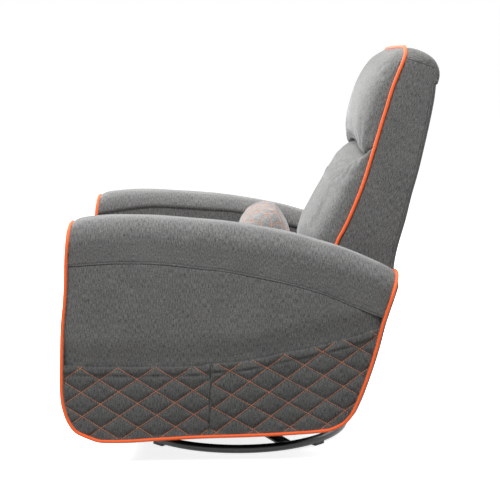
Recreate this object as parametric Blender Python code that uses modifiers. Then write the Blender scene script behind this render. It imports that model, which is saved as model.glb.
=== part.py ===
"""Swivel glider recliner armchair.

A padded armchair on a round tube base. The chair turns on a ball race, glides on four hanging
links, reclines about a pivot at the foot of its back and unfolds a footrest between its arms.
Metres, +Z up. The chair faces -Y and its left side is +X. The origin is on the floor, under the
middle of the chair's box.
"""
import math

import bmesh
import bpy
from mathutils import Matrix, Vector

for old in list(bpy.data.objects):
    bpy.data.objects.remove(old, do_unlink=True)

# Overall sizes
chair_height = 1.041
chair_depth = 0.943
seat_width = 0.486
arm_width = 0.144

# Fits
touch = 0.0003
running_gap = 0.0004
overrun = 0.05
weld_gap = 0.000001

# Upholstery
piping_radius = 0.0035
piping_play = 0.0006
pad_thickness = 0.016
panel_thickness = 0.020
inner_panel_thickness = 0.012
inner_recess = 0.012
drawn_in_share = 0.014
ply_thickness = 0.012
block_size = 0.030
roll_radius = 0.060
front_bulge = 0.004
rear_bulge = 0.008

# Quilted pockets
diamond_width = 0.0925
diamond_height = 0.0615
quilt_rise = 0.006
pocket_slit = 0.005
pocket_skin = 0.0015
pocket_rim = 0.012
pocket_mouth = 0.012

# Ring base and swivel
ring_radius = 0.293
ring_tube_radius = 0.011
glide_pad_thickness = 0.003
glide_pad_length = 0.034
glide_pad_width = 0.018
crossbar_width = 0.038
crossbar_thickness = 0.006
swivel_pin_radius = 0.010
swivel_pin_head = 0.016
race_radius = 0.0915
race_width = 0.027
race_thickness = 0.009
race_gap = 0.003
ball_radius = 0.005
cage_half_width = 0.0065
cage_thickness = 0.0016
swivel_plate_radius = 0.115
pin_head_height = 0.005

# Glide mechanism
cross_member_width = 0.030
cross_member_height = 0.015
cross_member_offset = 0.055
mechanism_inset = 0.083
plate_thickness = 0.0045
lane_gap = 0.0006
glide_spacing = 0.260
glide_link_length = 0.110
glide_pivot_height = 0.235
glide_foot_half = 0.080
bracket_waist_rise = 0.024
link_half_width = 0.010
ear_size = 0.018
pin_radius = 0.005

# Seat frame
seat_rail_height = 0.322
seat_rail_size = 0.030
front_rail_clearance = 0.022
rear_rail_behind = 0.160
spring_wire_radius = 0.0019
spring_wave = 0.018
spring_spacing = 0.120
cushion_side_gap = 0.004
seat_front_inset = 0.036
seat_rear_behind = 0.172
seat_cushion_height = 0.4642
seat_crown = 0.012

# Recline
recline_pivot_behind = 0.205
recline_pivot_height = 0.325
pivot_ear = 0.022
rail_heel_drop = 0.066
back_side_gap = 0.008
back_wall = 0.015
back_side_wall = 0.050
back_corner_radius = 0.050
back_rail_height = 0.030
post_half_width = 0.015
head_rest_gap = 0.0011
lower_rest_gap = 0.0006
cushion_edge_depth = 0.018
cushion_join_height = 0.779
cushion_join_gap = 0.003
cushion_piping_gap = 0.006
back_cushion_foot = 0.484
rear_panel_thickness = 0.010
rear_flange_depth = 0.055

# Footrest
footrest_pivot_behind = 0.187
footrest_pivot_height = 0.295
footrest_link_length = 0.190
drive_link_half_width = 0.015
torque_tube_radius = 0.010
footrest_face_inset = 0.024
footrest_pad_thickness = 0.040
footrest_crown_share = 0.125
footrest_board_thickness = 0.015
footrest_low = 0.085
footrest_high = 0.335
footrest_side_gap = 0.008
footrest_bracket_rise = 0.150
bracket_half = 0.012

# Release handle
handle_ahead = 0.200
handle_height = 0.370
handle_cup_length = 0.110
handle_cup_height = 0.070
handle_cup_wall = 0.002
handle_cup_depth = 0.0175
cup_hole_overrun = 0.005
cup_round_share = 0.25
handle_lever_length = 0.068
handle_lever_thickness = 0.005
handle_barrel_radius = 0.004
cable_radius = 0.0025
cable_drop = 0.026
cable_lug = 0.008

# Lumbar pillow
pillow_width = 0.360
pillow_height = 0.1494
pillow_rest = 0.0095
pillow_tuft_share = 0.0667
pillow_end_share = 0.25

# Angles in degrees
base_turn_deg = 26.5
footrest_link_rest_deg = (8.0, 160.0, 14.0)
front_quilt_turn_deg = 0.9
rear_quilt_turn_deg = 4.25
flat_limit_deg = 0.1
cord_corner_deg = 35

# Counts
ring_steps = 40
tube_steps = 8
turned_steps = 24
pin_steps = 12
glide_pad_count = 4
ball_count = 6
spring_count = 3
spring_half_waves = 8
roll_steps = 3
pillow_rings = 10
halving_steps = 30
frame_steps = 24
slit_steps = 8
link_end_steps = 6
box_corner_steps = 3
corner_steps = 5
cord_bevel_steps = 1
cable_steps = 8
ball_segments = 6
ball_rings = 4
soften_levels = 1
quilt_columns = 24
quilt_rows = 22
front_foot_points = 5
rear_foot_points = 4

# Side view of the arm, as shares of the chair's depth and height, from the front
arm_crest_shares = [
    (0.0339, 0.5879), (0.0933, 0.5965), (0.1760, 0.5989), (0.2768, 0.5956), (0.4104, 0.5850),
    (0.5546, 0.5648), (0.6691, 0.5389), (0.7837, 0.5034), (0.8420, 0.4813), (0.8791, 0.4611)]
arm_rear_shares = [
    (0.8791, 0.4611), (0.8590, 0.4150), (0.8324, 0.3429), (0.8134, 0.2728), (0.7869, 0.1940),
    (0.7635, 0.1422), (0.7402, 0.1162), (0.7116, 0.0970)]
arm_bottom_shares = [
    (0.7116, 0.0970), (0.6840, 0.0893), (0.5832, 0.0817), (0.4825, 0.0768), (0.3616, 0.0740),
    (0.2609, 0.0692), (0.1601, 0.0634), (0.1029, 0.0634)]
arm_front_shares = [
    (0.1029, 0.0634), (0.0700, 0.0730), (0.0371, 0.0941), (0.0138, 0.1220), (0.0021, 0.1595),
    (0.0000, 0.2219), (0.0042, 0.3141), (0.0127, 0.4419), (0.0233, 0.5447), (0.0339, 0.5879)]
roll_seam_shares = [
    (-0.0600, 0.4790), (0.0276, 0.4832), (0.1485, 0.4899), (0.2312, 0.4890), (0.3616, 0.4774),
    (0.5217, 0.4544), (0.6808, 0.4169), (0.8324, 0.3612), (0.9500, 0.3180)]
inner_seam_shares = [
    (-0.0600, 0.5230), (0.0986, 0.5447), (0.1824, 0.5543), (0.2503, 0.5533), (0.3436, 0.5476),
    (0.4677, 0.5379), (0.5684, 0.5139), (0.6744, 0.4851), (0.7805, 0.4467), (0.9500, 0.3900)]
pocket_edge_shares = [
    (-0.0600, 0.2507), (0.0965, 0.2469), (0.1962, 0.2459), (0.2959, 0.2469), (0.3616, 0.2478),
    (0.3892, 0.2546), (0.4624, 0.2584), (0.5620, 0.2767), (0.7211, 0.3084), (0.8324, 0.3391),
    (0.9500, 0.3720)]
pocket_seam_share = 0.3934
tie_shares = (0.33, 0.67)
swivel_share = 0.4624
front_roll_foot_share = 0.4419
rear_roll_foot_share = 0.3429
pad_turn_shares = (0.0550, 0.7250)
front_quilt_shares = (0.1962, 0.2123)
rear_quilt_shares = (0.4910, 0.2065)

# Side view of the back, as shares of the chair's depth and height
back_front_shares = [
    (0.9035, 0.9923), (0.8887, 0.9376), (0.8674, 0.8895), (0.8505, 0.8357), (0.8335, 0.7781),
    (0.8176, 0.7128), (0.7964, 0.6599), (0.7688, 0.5985), (0.7370, 0.5264), (0.7116, 0.4611),
    (0.6957, 0.4083), (0.6872, 0.3698)]
back_rear_shares = [
    (0.9173, 1.0000), (0.9565, 0.9837), (0.9862, 0.9616), (0.9979, 0.9433), (1.0000, 0.9241),
    (0.9936, 0.8934), (0.9745, 0.8079), (0.9470, 0.6916), (0.9152, 0.5735), (0.8918, 0.4995),
    (0.8865, 0.4419), (0.8802, 0.3698), (0.8547, 0.2901), (0.8282, 0.2229), (0.8038, 0.1873)]
back_post_shares = [(0.7400, 0.4035), (0.8123, 0.5764), (0.8706, 0.7493), (0.9183, 0.9126)]
back_rail_shares = (0.4130, 0.8980)
back_cavity_foot_share = 0.7000
head_crown_shares = [
    (0.9035, 0.9870), (0.8547, 0.9779), (0.8187, 0.9424), (0.7964, 0.9011), (0.7826, 0.8598),
    (0.7720, 0.8184), (0.7709, 0.7983), (0.7720, 0.7771), (0.7773, 0.7493)]
lower_crown_shares = [
    (0.7667, 0.7435), (0.7381, 0.7147), (0.7094, 0.6734), (0.6755, 0.6158), (0.6554, 0.5812),
    (0.6267, 0.5322), (0.6200, 0.4995), (0.6260, 0.4600)]
rear_panel_shares = [
    (0.8282, 0.1969), (0.8187, 0.1729), (0.8038, 0.1393), (0.7858, 0.1105), (0.7646, 0.0884),
    (0.7444, 0.0730)]
# Side view of the pillow, as shares of the chair's depth and of the pillow's height
pillow_shares = [
    (0.5525, 1.0000), (0.5164, 0.9394), (0.4814, 0.7185), (0.4602, 0.4976), (0.4560, 0.2767),
    (0.4730, 0.0697), (0.5154, 0.0000), (0.5663, 0.0070), (0.6002, 0.1024), (0.6130, 0.2767),
    (0.6110, 0.4174), (0.5917, 0.8056)]

# Places worked out from the sizes
depth_middle = (chair_depth - front_bulge) / 2
inner_face = seat_width / 2
outer_face = inner_face + arm_width
arm_middle = inner_face + arm_width / 2
piping_seat = (piping_radius + piping_play) * math.sqrt(2)
glide_lower_height = glide_pivot_height - glide_link_length


def place_y(share):
    """The y of a share of the chair's depth, counted from its front."""
    return share * chair_depth - depth_middle


def side_line(shares):
    """Points (y, z) of a line in the side view."""
    return [(place_y(along), up * chair_height) for along, up in shares]


swivel_y = place_y(swivel_share)


def value_at(line, place, key=1):
    """Read a line in the side view: y at a height for key 1, z at a y for key 0."""
    ordered = sorted(line, key=lambda point: point[key])
    if place <= ordered[0][key]:
        return ordered[0][1 - key]
    for before, after in zip(ordered, ordered[1:]):
        if place <= after[key]:
            part = (place - before[key]) / max(after[key] - before[key], weld_gap)
            return before[1 - key] + part * (after[1 - key] - before[1 - key])
    return ordered[-1][1 - key]


def moved(line, along, up):
    """The same line, moved in the side view."""
    return [(y + along, z + up) for y, z in line]


# Collections and materials
parts = bpy.data.collections.new("swivel_glider_recliner")
cutters = bpy.data.collections.new("cutters")
bpy.context.scene.collection.children.link(parts)
bpy.context.scene.collection.children.link(cutters)


def material(name, colour, roughness, metallic=0.0):
    """A Principled material with one colour."""
    made = bpy.data.materials.new(name)
    made.use_nodes = True
    shader = made.node_tree.nodes["Principled BSDF"]
    shader.inputs["Base Color"].default_value = (*colour, 1.0)
    shader.inputs["Roughness"].default_value = roughness
    shader.inputs["Metallic"].default_value = metallic
    made.diffuse_color = (*colour, 1.0)
    return made


grey_fabric = material("heather_grey_fabric", (0.115, 0.118, 0.120), 0.95)
quilt_fabric = material("quilted_grey_fabric", (0.085, 0.088, 0.092), 0.95)
pillow_fabric = material("light_grey_fabric", (0.30, 0.31, 0.32), 0.95)
orange_cord = material("orange_piping", (0.90, 0.14, 0.03), 0.60)
plywood = material("plywood", (0.48, 0.33, 0.18), 0.70)
black_steel = material("black_steel", (0.012, 0.012, 0.013), 0.35, 0.6)
zinc_steel = material("zinc_steel", (0.55, 0.56, 0.58), 0.35, 1.0)
black_plastic = material("black_plastic", (0.016, 0.016, 0.017), 0.45)

# A side outline stands up with its first value along Y and its second along Z
stand_side = Matrix(((0, 0, 1, 0), (1, 0, 0, 0), (0, 1, 0, 0), (0, 0, 0, 1)))
stand_front = Matrix(((1, 0, 0, 0), (0, 0, -1, 0), (0, 1, 0, 0), (0, 0, 0, 1)))


def piece(name, mesh, finish):
    """Put a mesh into the parts with its material."""
    made = bpy.data.objects.new(name, mesh)
    made.name = name
    made.data.name = name
    parts.objects.link(made)
    made.data.materials.clear()
    made.data.materials.append(finish)
    return made


def cutter(name, mesh):
    """Put a mesh with the cutters, which aren't part of the chair."""
    made = bpy.data.objects.new(name, mesh)
    cutters.objects.link(made)
    made.hide_render = True
    made.display_type = "WIRE"
    return made


def tidied(mesh, dissolve=False):
    """Weld a mesh's loose caps and turn its faces outwards."""
    work = bmesh.new()
    work.from_mesh(mesh)
    bmesh.ops.remove_doubles(work, verts=work.verts, dist=weld_gap)
    if dissolve:
        bmesh.ops.dissolve_limit(work, angle_limit=math.radians(flat_limit_deg), verts=work.verts,
                                 edges=work.edges, use_dissolve_boundaries=False)
    bmesh.ops.recalc_face_normals(work, faces=work.faces)
    work.to_mesh(mesh)
    work.free()
    return mesh


def mesh_of_curve(curve, stand):
    """Turn a filled or bevelled curve into a welded mesh, stood up in place."""
    source = bpy.data.objects.new(curve.name, curve)
    bpy.context.scene.collection.objects.link(source)
    source.matrix_world = stand
    bpy.context.view_layer.update()
    graph = bpy.context.evaluated_depsgraph_get()
    mesh = bpy.data.meshes.new_from_object(source.evaluated_get(graph))
    mesh.transform(source.matrix_world)
    bpy.data.objects.remove(source, do_unlink=True)
    bpy.data.curves.remove(curve)
    return mesh


def prism(outline, low, high, stand=stand_side):
    """A flat outline extruded between two planes."""
    curve = bpy.data.curves.new("outline", "CURVE")
    curve.dimensions = "2D"
    curve.fill_mode = "BOTH"
    curve.extrude = abs(high - low) / 2
    spline = curve.splines.new("POLY")
    spline.points.add(len(outline[1:]))
    for point, (across, up) in zip(spline.points, outline):
        point.co = (across, up, 0, 1)
    spline.use_cyclic_u = True
    shift = Matrix.Translation(stand @ Vector((0, 0, (low + high) / 2)))
    return tidied(mesh_of_curve(curve, shift @ stand), dissolve=True)


def tube(points, radius):
    """A round cord or wire along the points, with closed ends."""
    curve = bpy.data.curves.new("path", "CURVE")
    curve.dimensions = "3D"
    curve.bevel_depth = radius
    curve.bevel_resolution = cord_bevel_steps
    curve.use_fill_caps = True
    spline = curve.splines.new("POLY")
    spline.points.add(len(points[1:]))
    for point, place in zip(spline.points, points):
        point.co = (*place, 1)
    return tidied(mesh_of_curve(curve, Matrix.Identity(4)))


def box(low, high):
    """A block between two corners."""
    work = bmesh.new()
    size = [b - a for a, b in zip(low, high)]
    middle = [(a + b) / 2 for a, b in zip(low, high)]
    frame = Matrix.Translation(middle) @ Matrix.Diagonal((*size, 1))
    bmesh.ops.create_cube(work, size=1, matrix=frame)
    mesh = bpy.data.meshes.new("box")
    work.to_mesh(mesh)
    work.free()
    return mesh


def rod(start, end, radius, steps=pin_steps):
    """A round bar from one point to another."""
    start, end = Vector(start), Vector(end)
    along = end - start
    turn = along.to_track_quat("Z", "Y").to_matrix().to_4x4()
    work = bmesh.new()
    bmesh.ops.create_cone(work, cap_ends=True, segments=steps, radius1=radius, radius2=radius,
                          depth=along.length, matrix=Matrix.Translation((start + end) / 2) @ turn)
    mesh = bpy.data.meshes.new("rod")
    work.to_mesh(mesh)
    work.free()
    return mesh


def torus(radius, tube_radius, height):
    """The ring tube, or a fatter one to cut its seats."""
    bpy.ops.mesh.primitive_torus_add(
        major_radius=radius, minor_radius=tube_radius, major_segments=ring_steps,
        minor_segments=tube_steps, location=(0, swivel_y, height))
    made = bpy.context.object
    mesh = made.data
    mesh.transform(made.matrix_world)
    bpy.data.objects.remove(made, do_unlink=True)
    return mesh


def turned(profile, centre, steps=turned_steps):
    """A profile (radius, height), outer side first and downwards, turned round an upright axis."""
    mesh = bpy.data.meshes.new("profile")
    closed = profile[0][0] > 0
    edges = [(at, at + 1) for at in range(len(profile) - 1)]
    if closed:
        edges.append((len(profile) - 1, 0))
    mesh.from_pydata([(radius, 0, height) for radius, height in profile], edges, [])
    made = bpy.data.objects.new("profile", mesh)
    bpy.context.scene.collection.objects.link(made)
    screw = made.modifiers.new("turn", "SCREW")
    screw.steps = steps
    screw.render_steps = steps
    screw.use_merge_vertices = True
    screw.merge_threshold = weld_gap
    graph = bpy.context.evaluated_depsgraph_get()
    result = bpy.data.meshes.new_from_object(made.evaluated_get(graph))
    bpy.data.objects.remove(made, do_unlink=True)
    bpy.data.meshes.remove(mesh)
    result.transform(Matrix.Translation(centre))
    return tidied(result)


def joined(meshes):
    """Several solids in one mesh, for a cutter or before they are joined into one."""
    work = bmesh.new()
    for mesh in meshes:
        work.from_mesh(mesh)
    result = bpy.data.meshes.new("joined")
    work.to_mesh(result)
    work.free()
    return result


def combine(target, tool, operation):
    """A Boolean with another object."""
    change = target.modifiers.new(operation.lower(), "BOOLEAN")
    change.operation = operation
    change.solver = "EXACT"
    change.object = tool
    return target


def baked(made):
    """Replace an object's mesh with the one its modifiers give."""
    bpy.context.view_layer.update()
    graph = bpy.context.evaluated_depsgraph_get()
    mesh = bpy.data.meshes.new_from_object(made.evaluated_get(graph))
    made.modifiers.clear()
    made.data = tidied(mesh)
    return made


def shaped(name, finish, mesh, cuts=(), keep=()):
    """A piece whose mesh is cut by some cutters and kept inside others."""
    made = piece(name, mesh, finish)
    for tool in keep:
        combine(made, tool, "INTERSECT")
    for tool in cuts:
        combine(made, tool, "DIFFERENCE")
    if cuts or keep:
        baked(made)
        made.data.materials.clear()
        made.data.materials.append(finish)
    return made


def welded(name, finish, meshes, cuts=()):
    """One piece made of several solids that overlap."""
    made = piece(name, meshes[0], finish)
    for mesh in meshes[1:]:
        combine(made, cutter(name + "_addition", mesh), "UNION")
    for tool in cuts:
        combine(made, tool, "DIFFERENCE")
    baked(made)
    made.data.materials.clear()
    made.data.materials.append(finish)
    return made


def hang_on(made, pivot):
    """Set an object's origin on its joint's axis."""
    made.data.transform(Matrix.Translation(-Vector(pivot)))
    made.location = pivot
    return made


def span(side, low, high):
    """The x range of something on one side, counted outwards from the middle."""
    return tuple(sorted((side * low, side * high)))


def lane(number):
    """The x range of one plate of the mechanism, counted outwards."""
    low = inner_face - mechanism_inset + number * (plate_thickness + lane_gap)
    return low, low + plate_thickness


def side_bar(start, end, half_width, side, lane_number):
    """A flat link with round ends between two pivots."""
    run = Vector((end[0] - start[0], end[1] - start[1]))
    heading = math.atan2(run.y, run.x)
    outline = []
    for centre, base in ((end, heading - math.pi / 2), (start, heading + math.pi / 2)):
        for step in range(link_end_steps + 1):
            angle = base + math.pi * step / link_end_steps
            outline.append((centre[0] + half_width * math.cos(angle),
                            centre[1] + half_width * math.sin(angle)))
    return prism(outline, *span(side, *lane(lane_number)))


def cross_rod(place, radius, side, low, high):
    """A pin along X at a place in the side view."""
    left, right = span(side, low, high)
    return rod((left, *place), (right, *place), radius)


def hole_cutter(name, places, radius):
    """Holes right across the chair at some places of the side view."""
    return cutter(name, joined([rod((-outer_face, *place), (outer_face, *place), radius)
                                for place in places]))


# Ring base: a tube ring with two crossed flat bars, on small glides
ring_height = glide_pad_thickness + ring_tube_radius
base_ring = piece("base_ring", torus(ring_radius, ring_tube_radius, ring_height), black_steel)
base_ring.data.shade_smooth()
ring_seat = cutter("ring_seat", torus(ring_radius, ring_tube_radius + touch, ring_height))
swivel_bore = cutter("swivel_bore", rod((0, swivel_y, -overrun), (0, swivel_y, overrun + race_gap),
                                        swivel_pin_radius + touch))


def glide_pad(number):
    """A glide that clips under the ring."""
    angle = 2 * math.pi * (number + 1 / 2) / glide_pad_count
    pad = box((-glide_pad_width / 2, -glide_pad_length / 2, 0),
              (glide_pad_width / 2, glide_pad_length / 2, ring_height - ring_tube_radius / 2))
    pad.transform(Matrix.Translation((0, swivel_y, 0)) @ Matrix.Rotation(angle, 4, "Z")
                  @ Matrix.Translation((ring_radius, 0, 0)))
    return pad


for number in range(glide_pad_count):
    shaped("floor_glide_" + str(number + 1), black_plastic, glide_pad(number), cuts=[ring_seat])


def crossbar(turn_deg):
    """A flat bar right across the ring."""
    bar = box((-ring_radius, -crossbar_width / 2, ring_height - crossbar_thickness / 2),
              (ring_radius, crossbar_width / 2, ring_height + crossbar_thickness / 2))
    bar.transform(Matrix.Translation((0, swivel_y, 0)) @ Matrix.Rotation(math.radians(turn_deg), 4, "Z"))
    return bar


crossbars = piece("base_crossbars", crossbar(base_turn_deg), black_steel)
second_bar = cutter("second_crossbar", crossbar(base_turn_deg + 90))
combine(crossbars, second_bar, "UNION")
combine(crossbars, ring_seat, "DIFFERENCE")
combine(crossbars, swivel_bore, "DIFFERENCE")
baked(crossbars)
crossbars.data.materials.append(black_steel)

# Ball race: a fixed lower race, a cage of balls and the swivel plate above them
race_low = ring_height + crossbar_thickness / 2 + touch
race_top = race_low + race_thickness
plate_low = race_top + race_gap
plate_top = plate_low + race_thickness
ball_height = race_top + race_gap / 2
groove_half = (ball_radius + touch) * math.sqrt(2) - race_gap / 2

piece("lower_race", turned([
    (race_radius + race_width / 2, race_top), (race_radius + race_width / 2, race_low),
    (race_radius - race_width / 2, race_low), (race_radius - race_width / 2, race_top),
    (race_radius - groove_half, race_top), (race_radius, race_top - groove_half),
    (race_radius + groove_half, race_top)], (0, swivel_y, 0)), zinc_steel)


def race_ball(number):
    """One ball of the race."""
    angle = 2 * math.pi * number / ball_count
    work = bmesh.new()
    place = (race_radius * math.cos(angle), swivel_y + race_radius * math.sin(angle), ball_height)
    bmesh.ops.create_uvsphere(work, u_segments=ball_segments, v_segments=ball_rings, radius=ball_radius,
                              matrix=Matrix.Translation(place))
    mesh = bpy.data.meshes.new("ball")
    work.to_mesh(mesh)
    work.free()
    return mesh


cage = piece("ball_cage", turned([
    (race_radius + cage_half_width, ball_height + cage_thickness / 2),
    (race_radius + cage_half_width, ball_height - cage_thickness / 2),
    (race_radius - cage_half_width, ball_height - cage_thickness / 2),
    (race_radius - cage_half_width, ball_height + cage_thickness / 2)], (0, swivel_y, 0)), zinc_steel)
combine(cage, cutter("balls", joined([race_ball(number) for number in range(ball_count)])), "UNION")
baked(cage)
cage.data.materials.append(zinc_steel)

cross_member_low = plate_top - touch
cross_member_top = cross_member_low + cross_member_height
bracket_low, bracket_high = lane(0)
plate_disc = turned([
    (swivel_plate_radius, plate_top), (swivel_plate_radius, plate_low),
    (race_radius + groove_half, plate_low), (race_radius, plate_low + groove_half),
    (race_radius - groove_half, plate_low), (swivel_pin_radius + running_gap, plate_low),
    (swivel_pin_radius + running_gap, plate_top)], (0, swivel_y, 0))
cross_members = [
    box((-bracket_low + touch, swivel_y + along * cross_member_offset - cross_member_width / 2,
         cross_member_low),
        (bracket_low - touch, swivel_y + along * cross_member_offset + cross_member_width / 2,
         cross_member_top)) for along in (1, -1)]
welded("swivel_plate", black_steel, [plate_disc] + cross_members)
pin_head_low = plate_top + touch
piece("swivel_pin", turned([
    (0, pin_head_low + pin_head_height), (swivel_pin_head, pin_head_low + pin_head_height),
    (swivel_pin_head, pin_head_low), (swivel_pin_radius, pin_head_low),
    (swivel_pin_radius, glide_pad_thickness), (0, glide_pad_thickness)],
    (0, swivel_y, 0), pin_steps), zinc_steel)

# Glide base: two brackets on the ends of the swivel plate's cross members
front_upper = (swivel_y - glide_spacing / 2, glide_pivot_height)
rear_upper = (swivel_y + glide_spacing / 2, glide_pivot_height)
front_lower = (front_upper[0], glide_lower_height)
rear_lower = (rear_upper[0], glide_lower_height)
upper_holes = hole_cutter("upper_glide_holes", (front_upper, rear_upper), pin_radius + running_gap)
lower_holes = hole_cutter("lower_glide_holes", (front_lower, rear_lower), pin_radius + running_gap)


def glide_bracket(side):
    """An upright plate with an ear for each pair of links."""
    ear = glide_spacing / 2 + ear_size
    waist = glide_lower_height + bracket_waist_rise
    outline = []
    for end in (1, -1):
        corners = [(end * glide_foot_half, cross_member_low), (end * glide_foot_half, waist),
                   (end * ear, glide_pivot_height - ear_size), (end * ear, glide_pivot_height + ear_size)]
        outline += [(swivel_y + along, up) for along, up in corners[::end]]
    return prism(outline, *span(side, *lane(0)))


shaped("left_glide_bracket", black_steel, glide_bracket(1), cuts=[upper_holes])
shaped("right_glide_bracket", black_steel, glide_bracket(-1), cuts=[upper_holes])


def glide_links(name, upper, lower):
    """Two hanging links joined by a cross rod at their foot, with the pins they turn on."""
    solids = [cross_rod(lower, pin_radius, 1, -lane(2)[1] - touch, lane(2)[1] + touch)]
    for side in (1, -1):
        solids.append(side_bar(upper, lower, link_half_width, side, 1))
        solids.append(cross_rod(upper, pin_radius, side, lane(0)[0] - touch, lane(1)[1] - touch))
    hang_on(welded(name, zinc_steel, solids), (0, *upper))


glide_links("front_glide_links", front_upper, front_lower)
glide_links("rear_glide_links", rear_upper, rear_lower)

# Mechanism rails: side plates that hang on the links and carry the seat, back and footrest
recline_pivot = (swivel_y + recline_pivot_behind, recline_pivot_height)
board_front = place_y(0) + footrest_face_inset + footrest_pad_thickness
board_rear = board_front + footrest_board_thickness
front_rail_y = board_rear + front_rail_clearance
footrest_pivot = (board_rear + footrest_pivot_behind, footrest_pivot_height)
rail_top = seat_rail_height - touch
rail_low = glide_lower_height - ear_size
glide_half = glide_spacing / 2 + ear_size
cable_height = handle_height - cable_drop
cable_y = swivel_y - handle_ahead
pivot_holes = cutter("pivot_holes", joined([
    rod((-outer_face, *footrest_pivot), (outer_face, *footrest_pivot), torque_tube_radius + running_gap),
    rod((-outer_face, *recline_pivot), (outer_face, *recline_pivot), pin_radius + running_gap)]))
rail_outline = [
    (front_rail_y, rail_top - seat_rail_size), (swivel_y - glide_half, rail_low),
    (swivel_y + glide_half, rail_low),
    (recline_pivot[0] + pivot_ear, recline_pivot_height - rail_heel_drop),
    (recline_pivot[0] + pivot_ear, recline_pivot_height + pivot_ear),
    (recline_pivot[0] - pivot_ear, recline_pivot_height + pivot_ear),
    (recline_pivot[0] - pivot_ear, rail_top), (cable_y + cable_lug, rail_top),
    (cable_y + cable_lug, cable_height + cable_lug), (cable_y - cable_lug, cable_height + cable_lug),
    (cable_y - cable_lug, rail_top), (front_rail_y, rail_top)]
for side, word in ((1, "left"), (-1, "right")):
    shaped(word + "_mechanism_rail", black_steel, prism(rail_outline, *span(side, *lane(2))),
           cuts=[lower_holes, pivot_holes])

# Seat: two wooden rails across the chair, wire springs between them, and the cushion
rail_reach = inner_face + inner_recess - touch
seat_rail_top = seat_rail_height + seat_rail_size
rear_rail_y = swivel_y + rear_rail_behind - seat_rail_size
for word, along in (("front", front_rail_y), ("rear", rear_rail_y)):
    piece(word + "_seat_rail", box((-rail_reach, along, seat_rail_height),
                                   (rail_reach, along + seat_rail_size, seat_rail_top)), plywood)


def seat_spring(number):
    """One flat zigzag spring, clipped on the two rails."""
    middle = spring_spacing * (number - (spring_count - 1) / 2)
    first = front_rail_y + seat_rail_size / 2
    last = rear_rail_y + seat_rail_size / 2
    height = seat_rail_top + touch + spring_wire_radius
    points = []
    for at in range(spring_half_waves + 1):
        sway = spring_wave if at % 2 else -spring_wave
        points.append((middle + sway, first + (last - first) * at / spring_half_waves, height))
    return tube(points, spring_wire_radius)


def tie_wire(share):
    """A straight wire across all the springs."""
    along = front_rail_y + seat_rail_size / 2 + share * (rear_rail_y - front_rail_y)
    height = seat_rail_top + touch + spring_wire_radius
    reach = spring_spacing * spring_count / 2
    return tube([(-reach, along, height), (reach, along, height)], spring_wire_radius)


welded("seat_springs", zinc_steel, [seat_spring(number) for number in range(spring_count)]
       + [tie_wire(share) for share in tie_shares])


def soft_block(name, cuts, shape, finish):
    """A cushion: a cube cut into a coarse cage, shaped by a rule and subdivided."""
    work = bmesh.new()
    bmesh.ops.create_cube(work, size=2)
    for axis, count in enumerate(cuts):
        along = [edge for edge in work.edges
                 if abs(edge.verts[0].co[axis] - edge.verts[1].co[axis]) > 1]
        bmesh.ops.subdivide_edges(work, edges=along, cuts=count, use_grid_fill=True)
    for vertex in work.verts:
        vertex.co = shape(*vertex.co)
    bmesh.ops.recalc_face_normals(work, faces=work.faces)
    mesh = bpy.data.meshes.new(name)
    work.to_mesh(mesh)
    work.free()
    made = piece(name, mesh, finish)
    soften = made.modifiers.new("soften", "SUBSURF")
    soften.levels = soften_levels
    soften.render_levels = soften_levels
    made.data.shade_smooth()
    return made


seat_cushion_low = seat_rail_top + 2 * spring_wire_radius + 2 * touch
seat_half = inner_face - cushion_side_gap
seat_front = place_y(0) + seat_front_inset
seat_rear = swivel_y + seat_rear_behind
seat_middle = (seat_front + seat_rear) / 2


def seat_shape(across, along, up):
    """Crowned top, and sides that pull in between the corners."""
    draw = 1 - drawn_in_share * (1 - up * up) * 2
    half_depth = (seat_rear - seat_front) / 2
    x = across * seat_half * (draw - drawn_in_share * (1 - along ** 2))
    y = seat_middle + along * half_depth * (draw - drawn_in_share * (1 - across ** 2))
    crown = seat_crown * (1 - across ** 4) * (1 - along ** 4) if up > 0 else 0
    z = seat_cushion_low + (seat_cushion_height - seat_cushion_low) * (up + 1) / 2 + crown
    return x, y, z


soft_block("seat_cushion", (3, 4, 1), seat_shape, grey_fabric)

# Footrest: a folding chain of links on each side, with a padded board at its end


def link_end(start, angle_deg):
    """The far pivot of a footrest link that hangs at an angle forward of straight down."""
    angle = math.radians(angle_deg)
    return (start[0] - footrest_link_length * math.sin(angle),
            start[1] - footrest_link_length * math.cos(angle))


rear_knee = link_end(footrest_pivot, footrest_link_rest_deg[0])
front_knee = link_end(rear_knee, footrest_link_rest_deg[1])
board_pivot = link_end(front_knee, footrest_link_rest_deg[2])
rear_knee_hole = hole_cutter("rear_knee_hole", (rear_knee,), pin_radius + running_gap)
front_knee_hole = hole_cutter("front_knee_hole", (front_knee,), pin_radius + running_gap)
board_hole = hole_cutter("board_hole", (board_pivot,), pin_radius + running_gap)


def footrest_link(start, end, half_width, side, lane_number):
    """One link and the pin it carries at its far end."""
    return [side_bar(start, end, half_width, side, lane_number),
            cross_rod(end, pin_radius, side, lane(3)[0] + weld_gap, lane(4)[1] - weld_gap)]


torque_tube = rod((-lane(3)[1] + touch, *footrest_pivot), (lane(3)[1] - touch, *footrest_pivot),
                  torque_tube_radius)
drive_links = [solid for side in (1, -1)
               for solid in footrest_link(footrest_pivot, rear_knee, drive_link_half_width, side, 3)]
hang_on(welded("footrest_drive_tube", zinc_steel, [torque_tube] + drive_links), (0, *footrest_pivot))
for side, word in ((1, "left"), (-1, "right")):
    middle_link = footrest_link(rear_knee, front_knee, link_half_width, side, 4)
    hang_on(welded(word + "_footrest_middle_link", zinc_steel, middle_link, [rear_knee_hole]),
            (0, *rear_knee))
    front_link = footrest_link(front_knee, board_pivot, link_half_width, side, 3)
    hang_on(welded(word + "_footrest_front_link", zinc_steel, front_link, [front_knee_hole]),
            (0, *front_knee))

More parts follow.
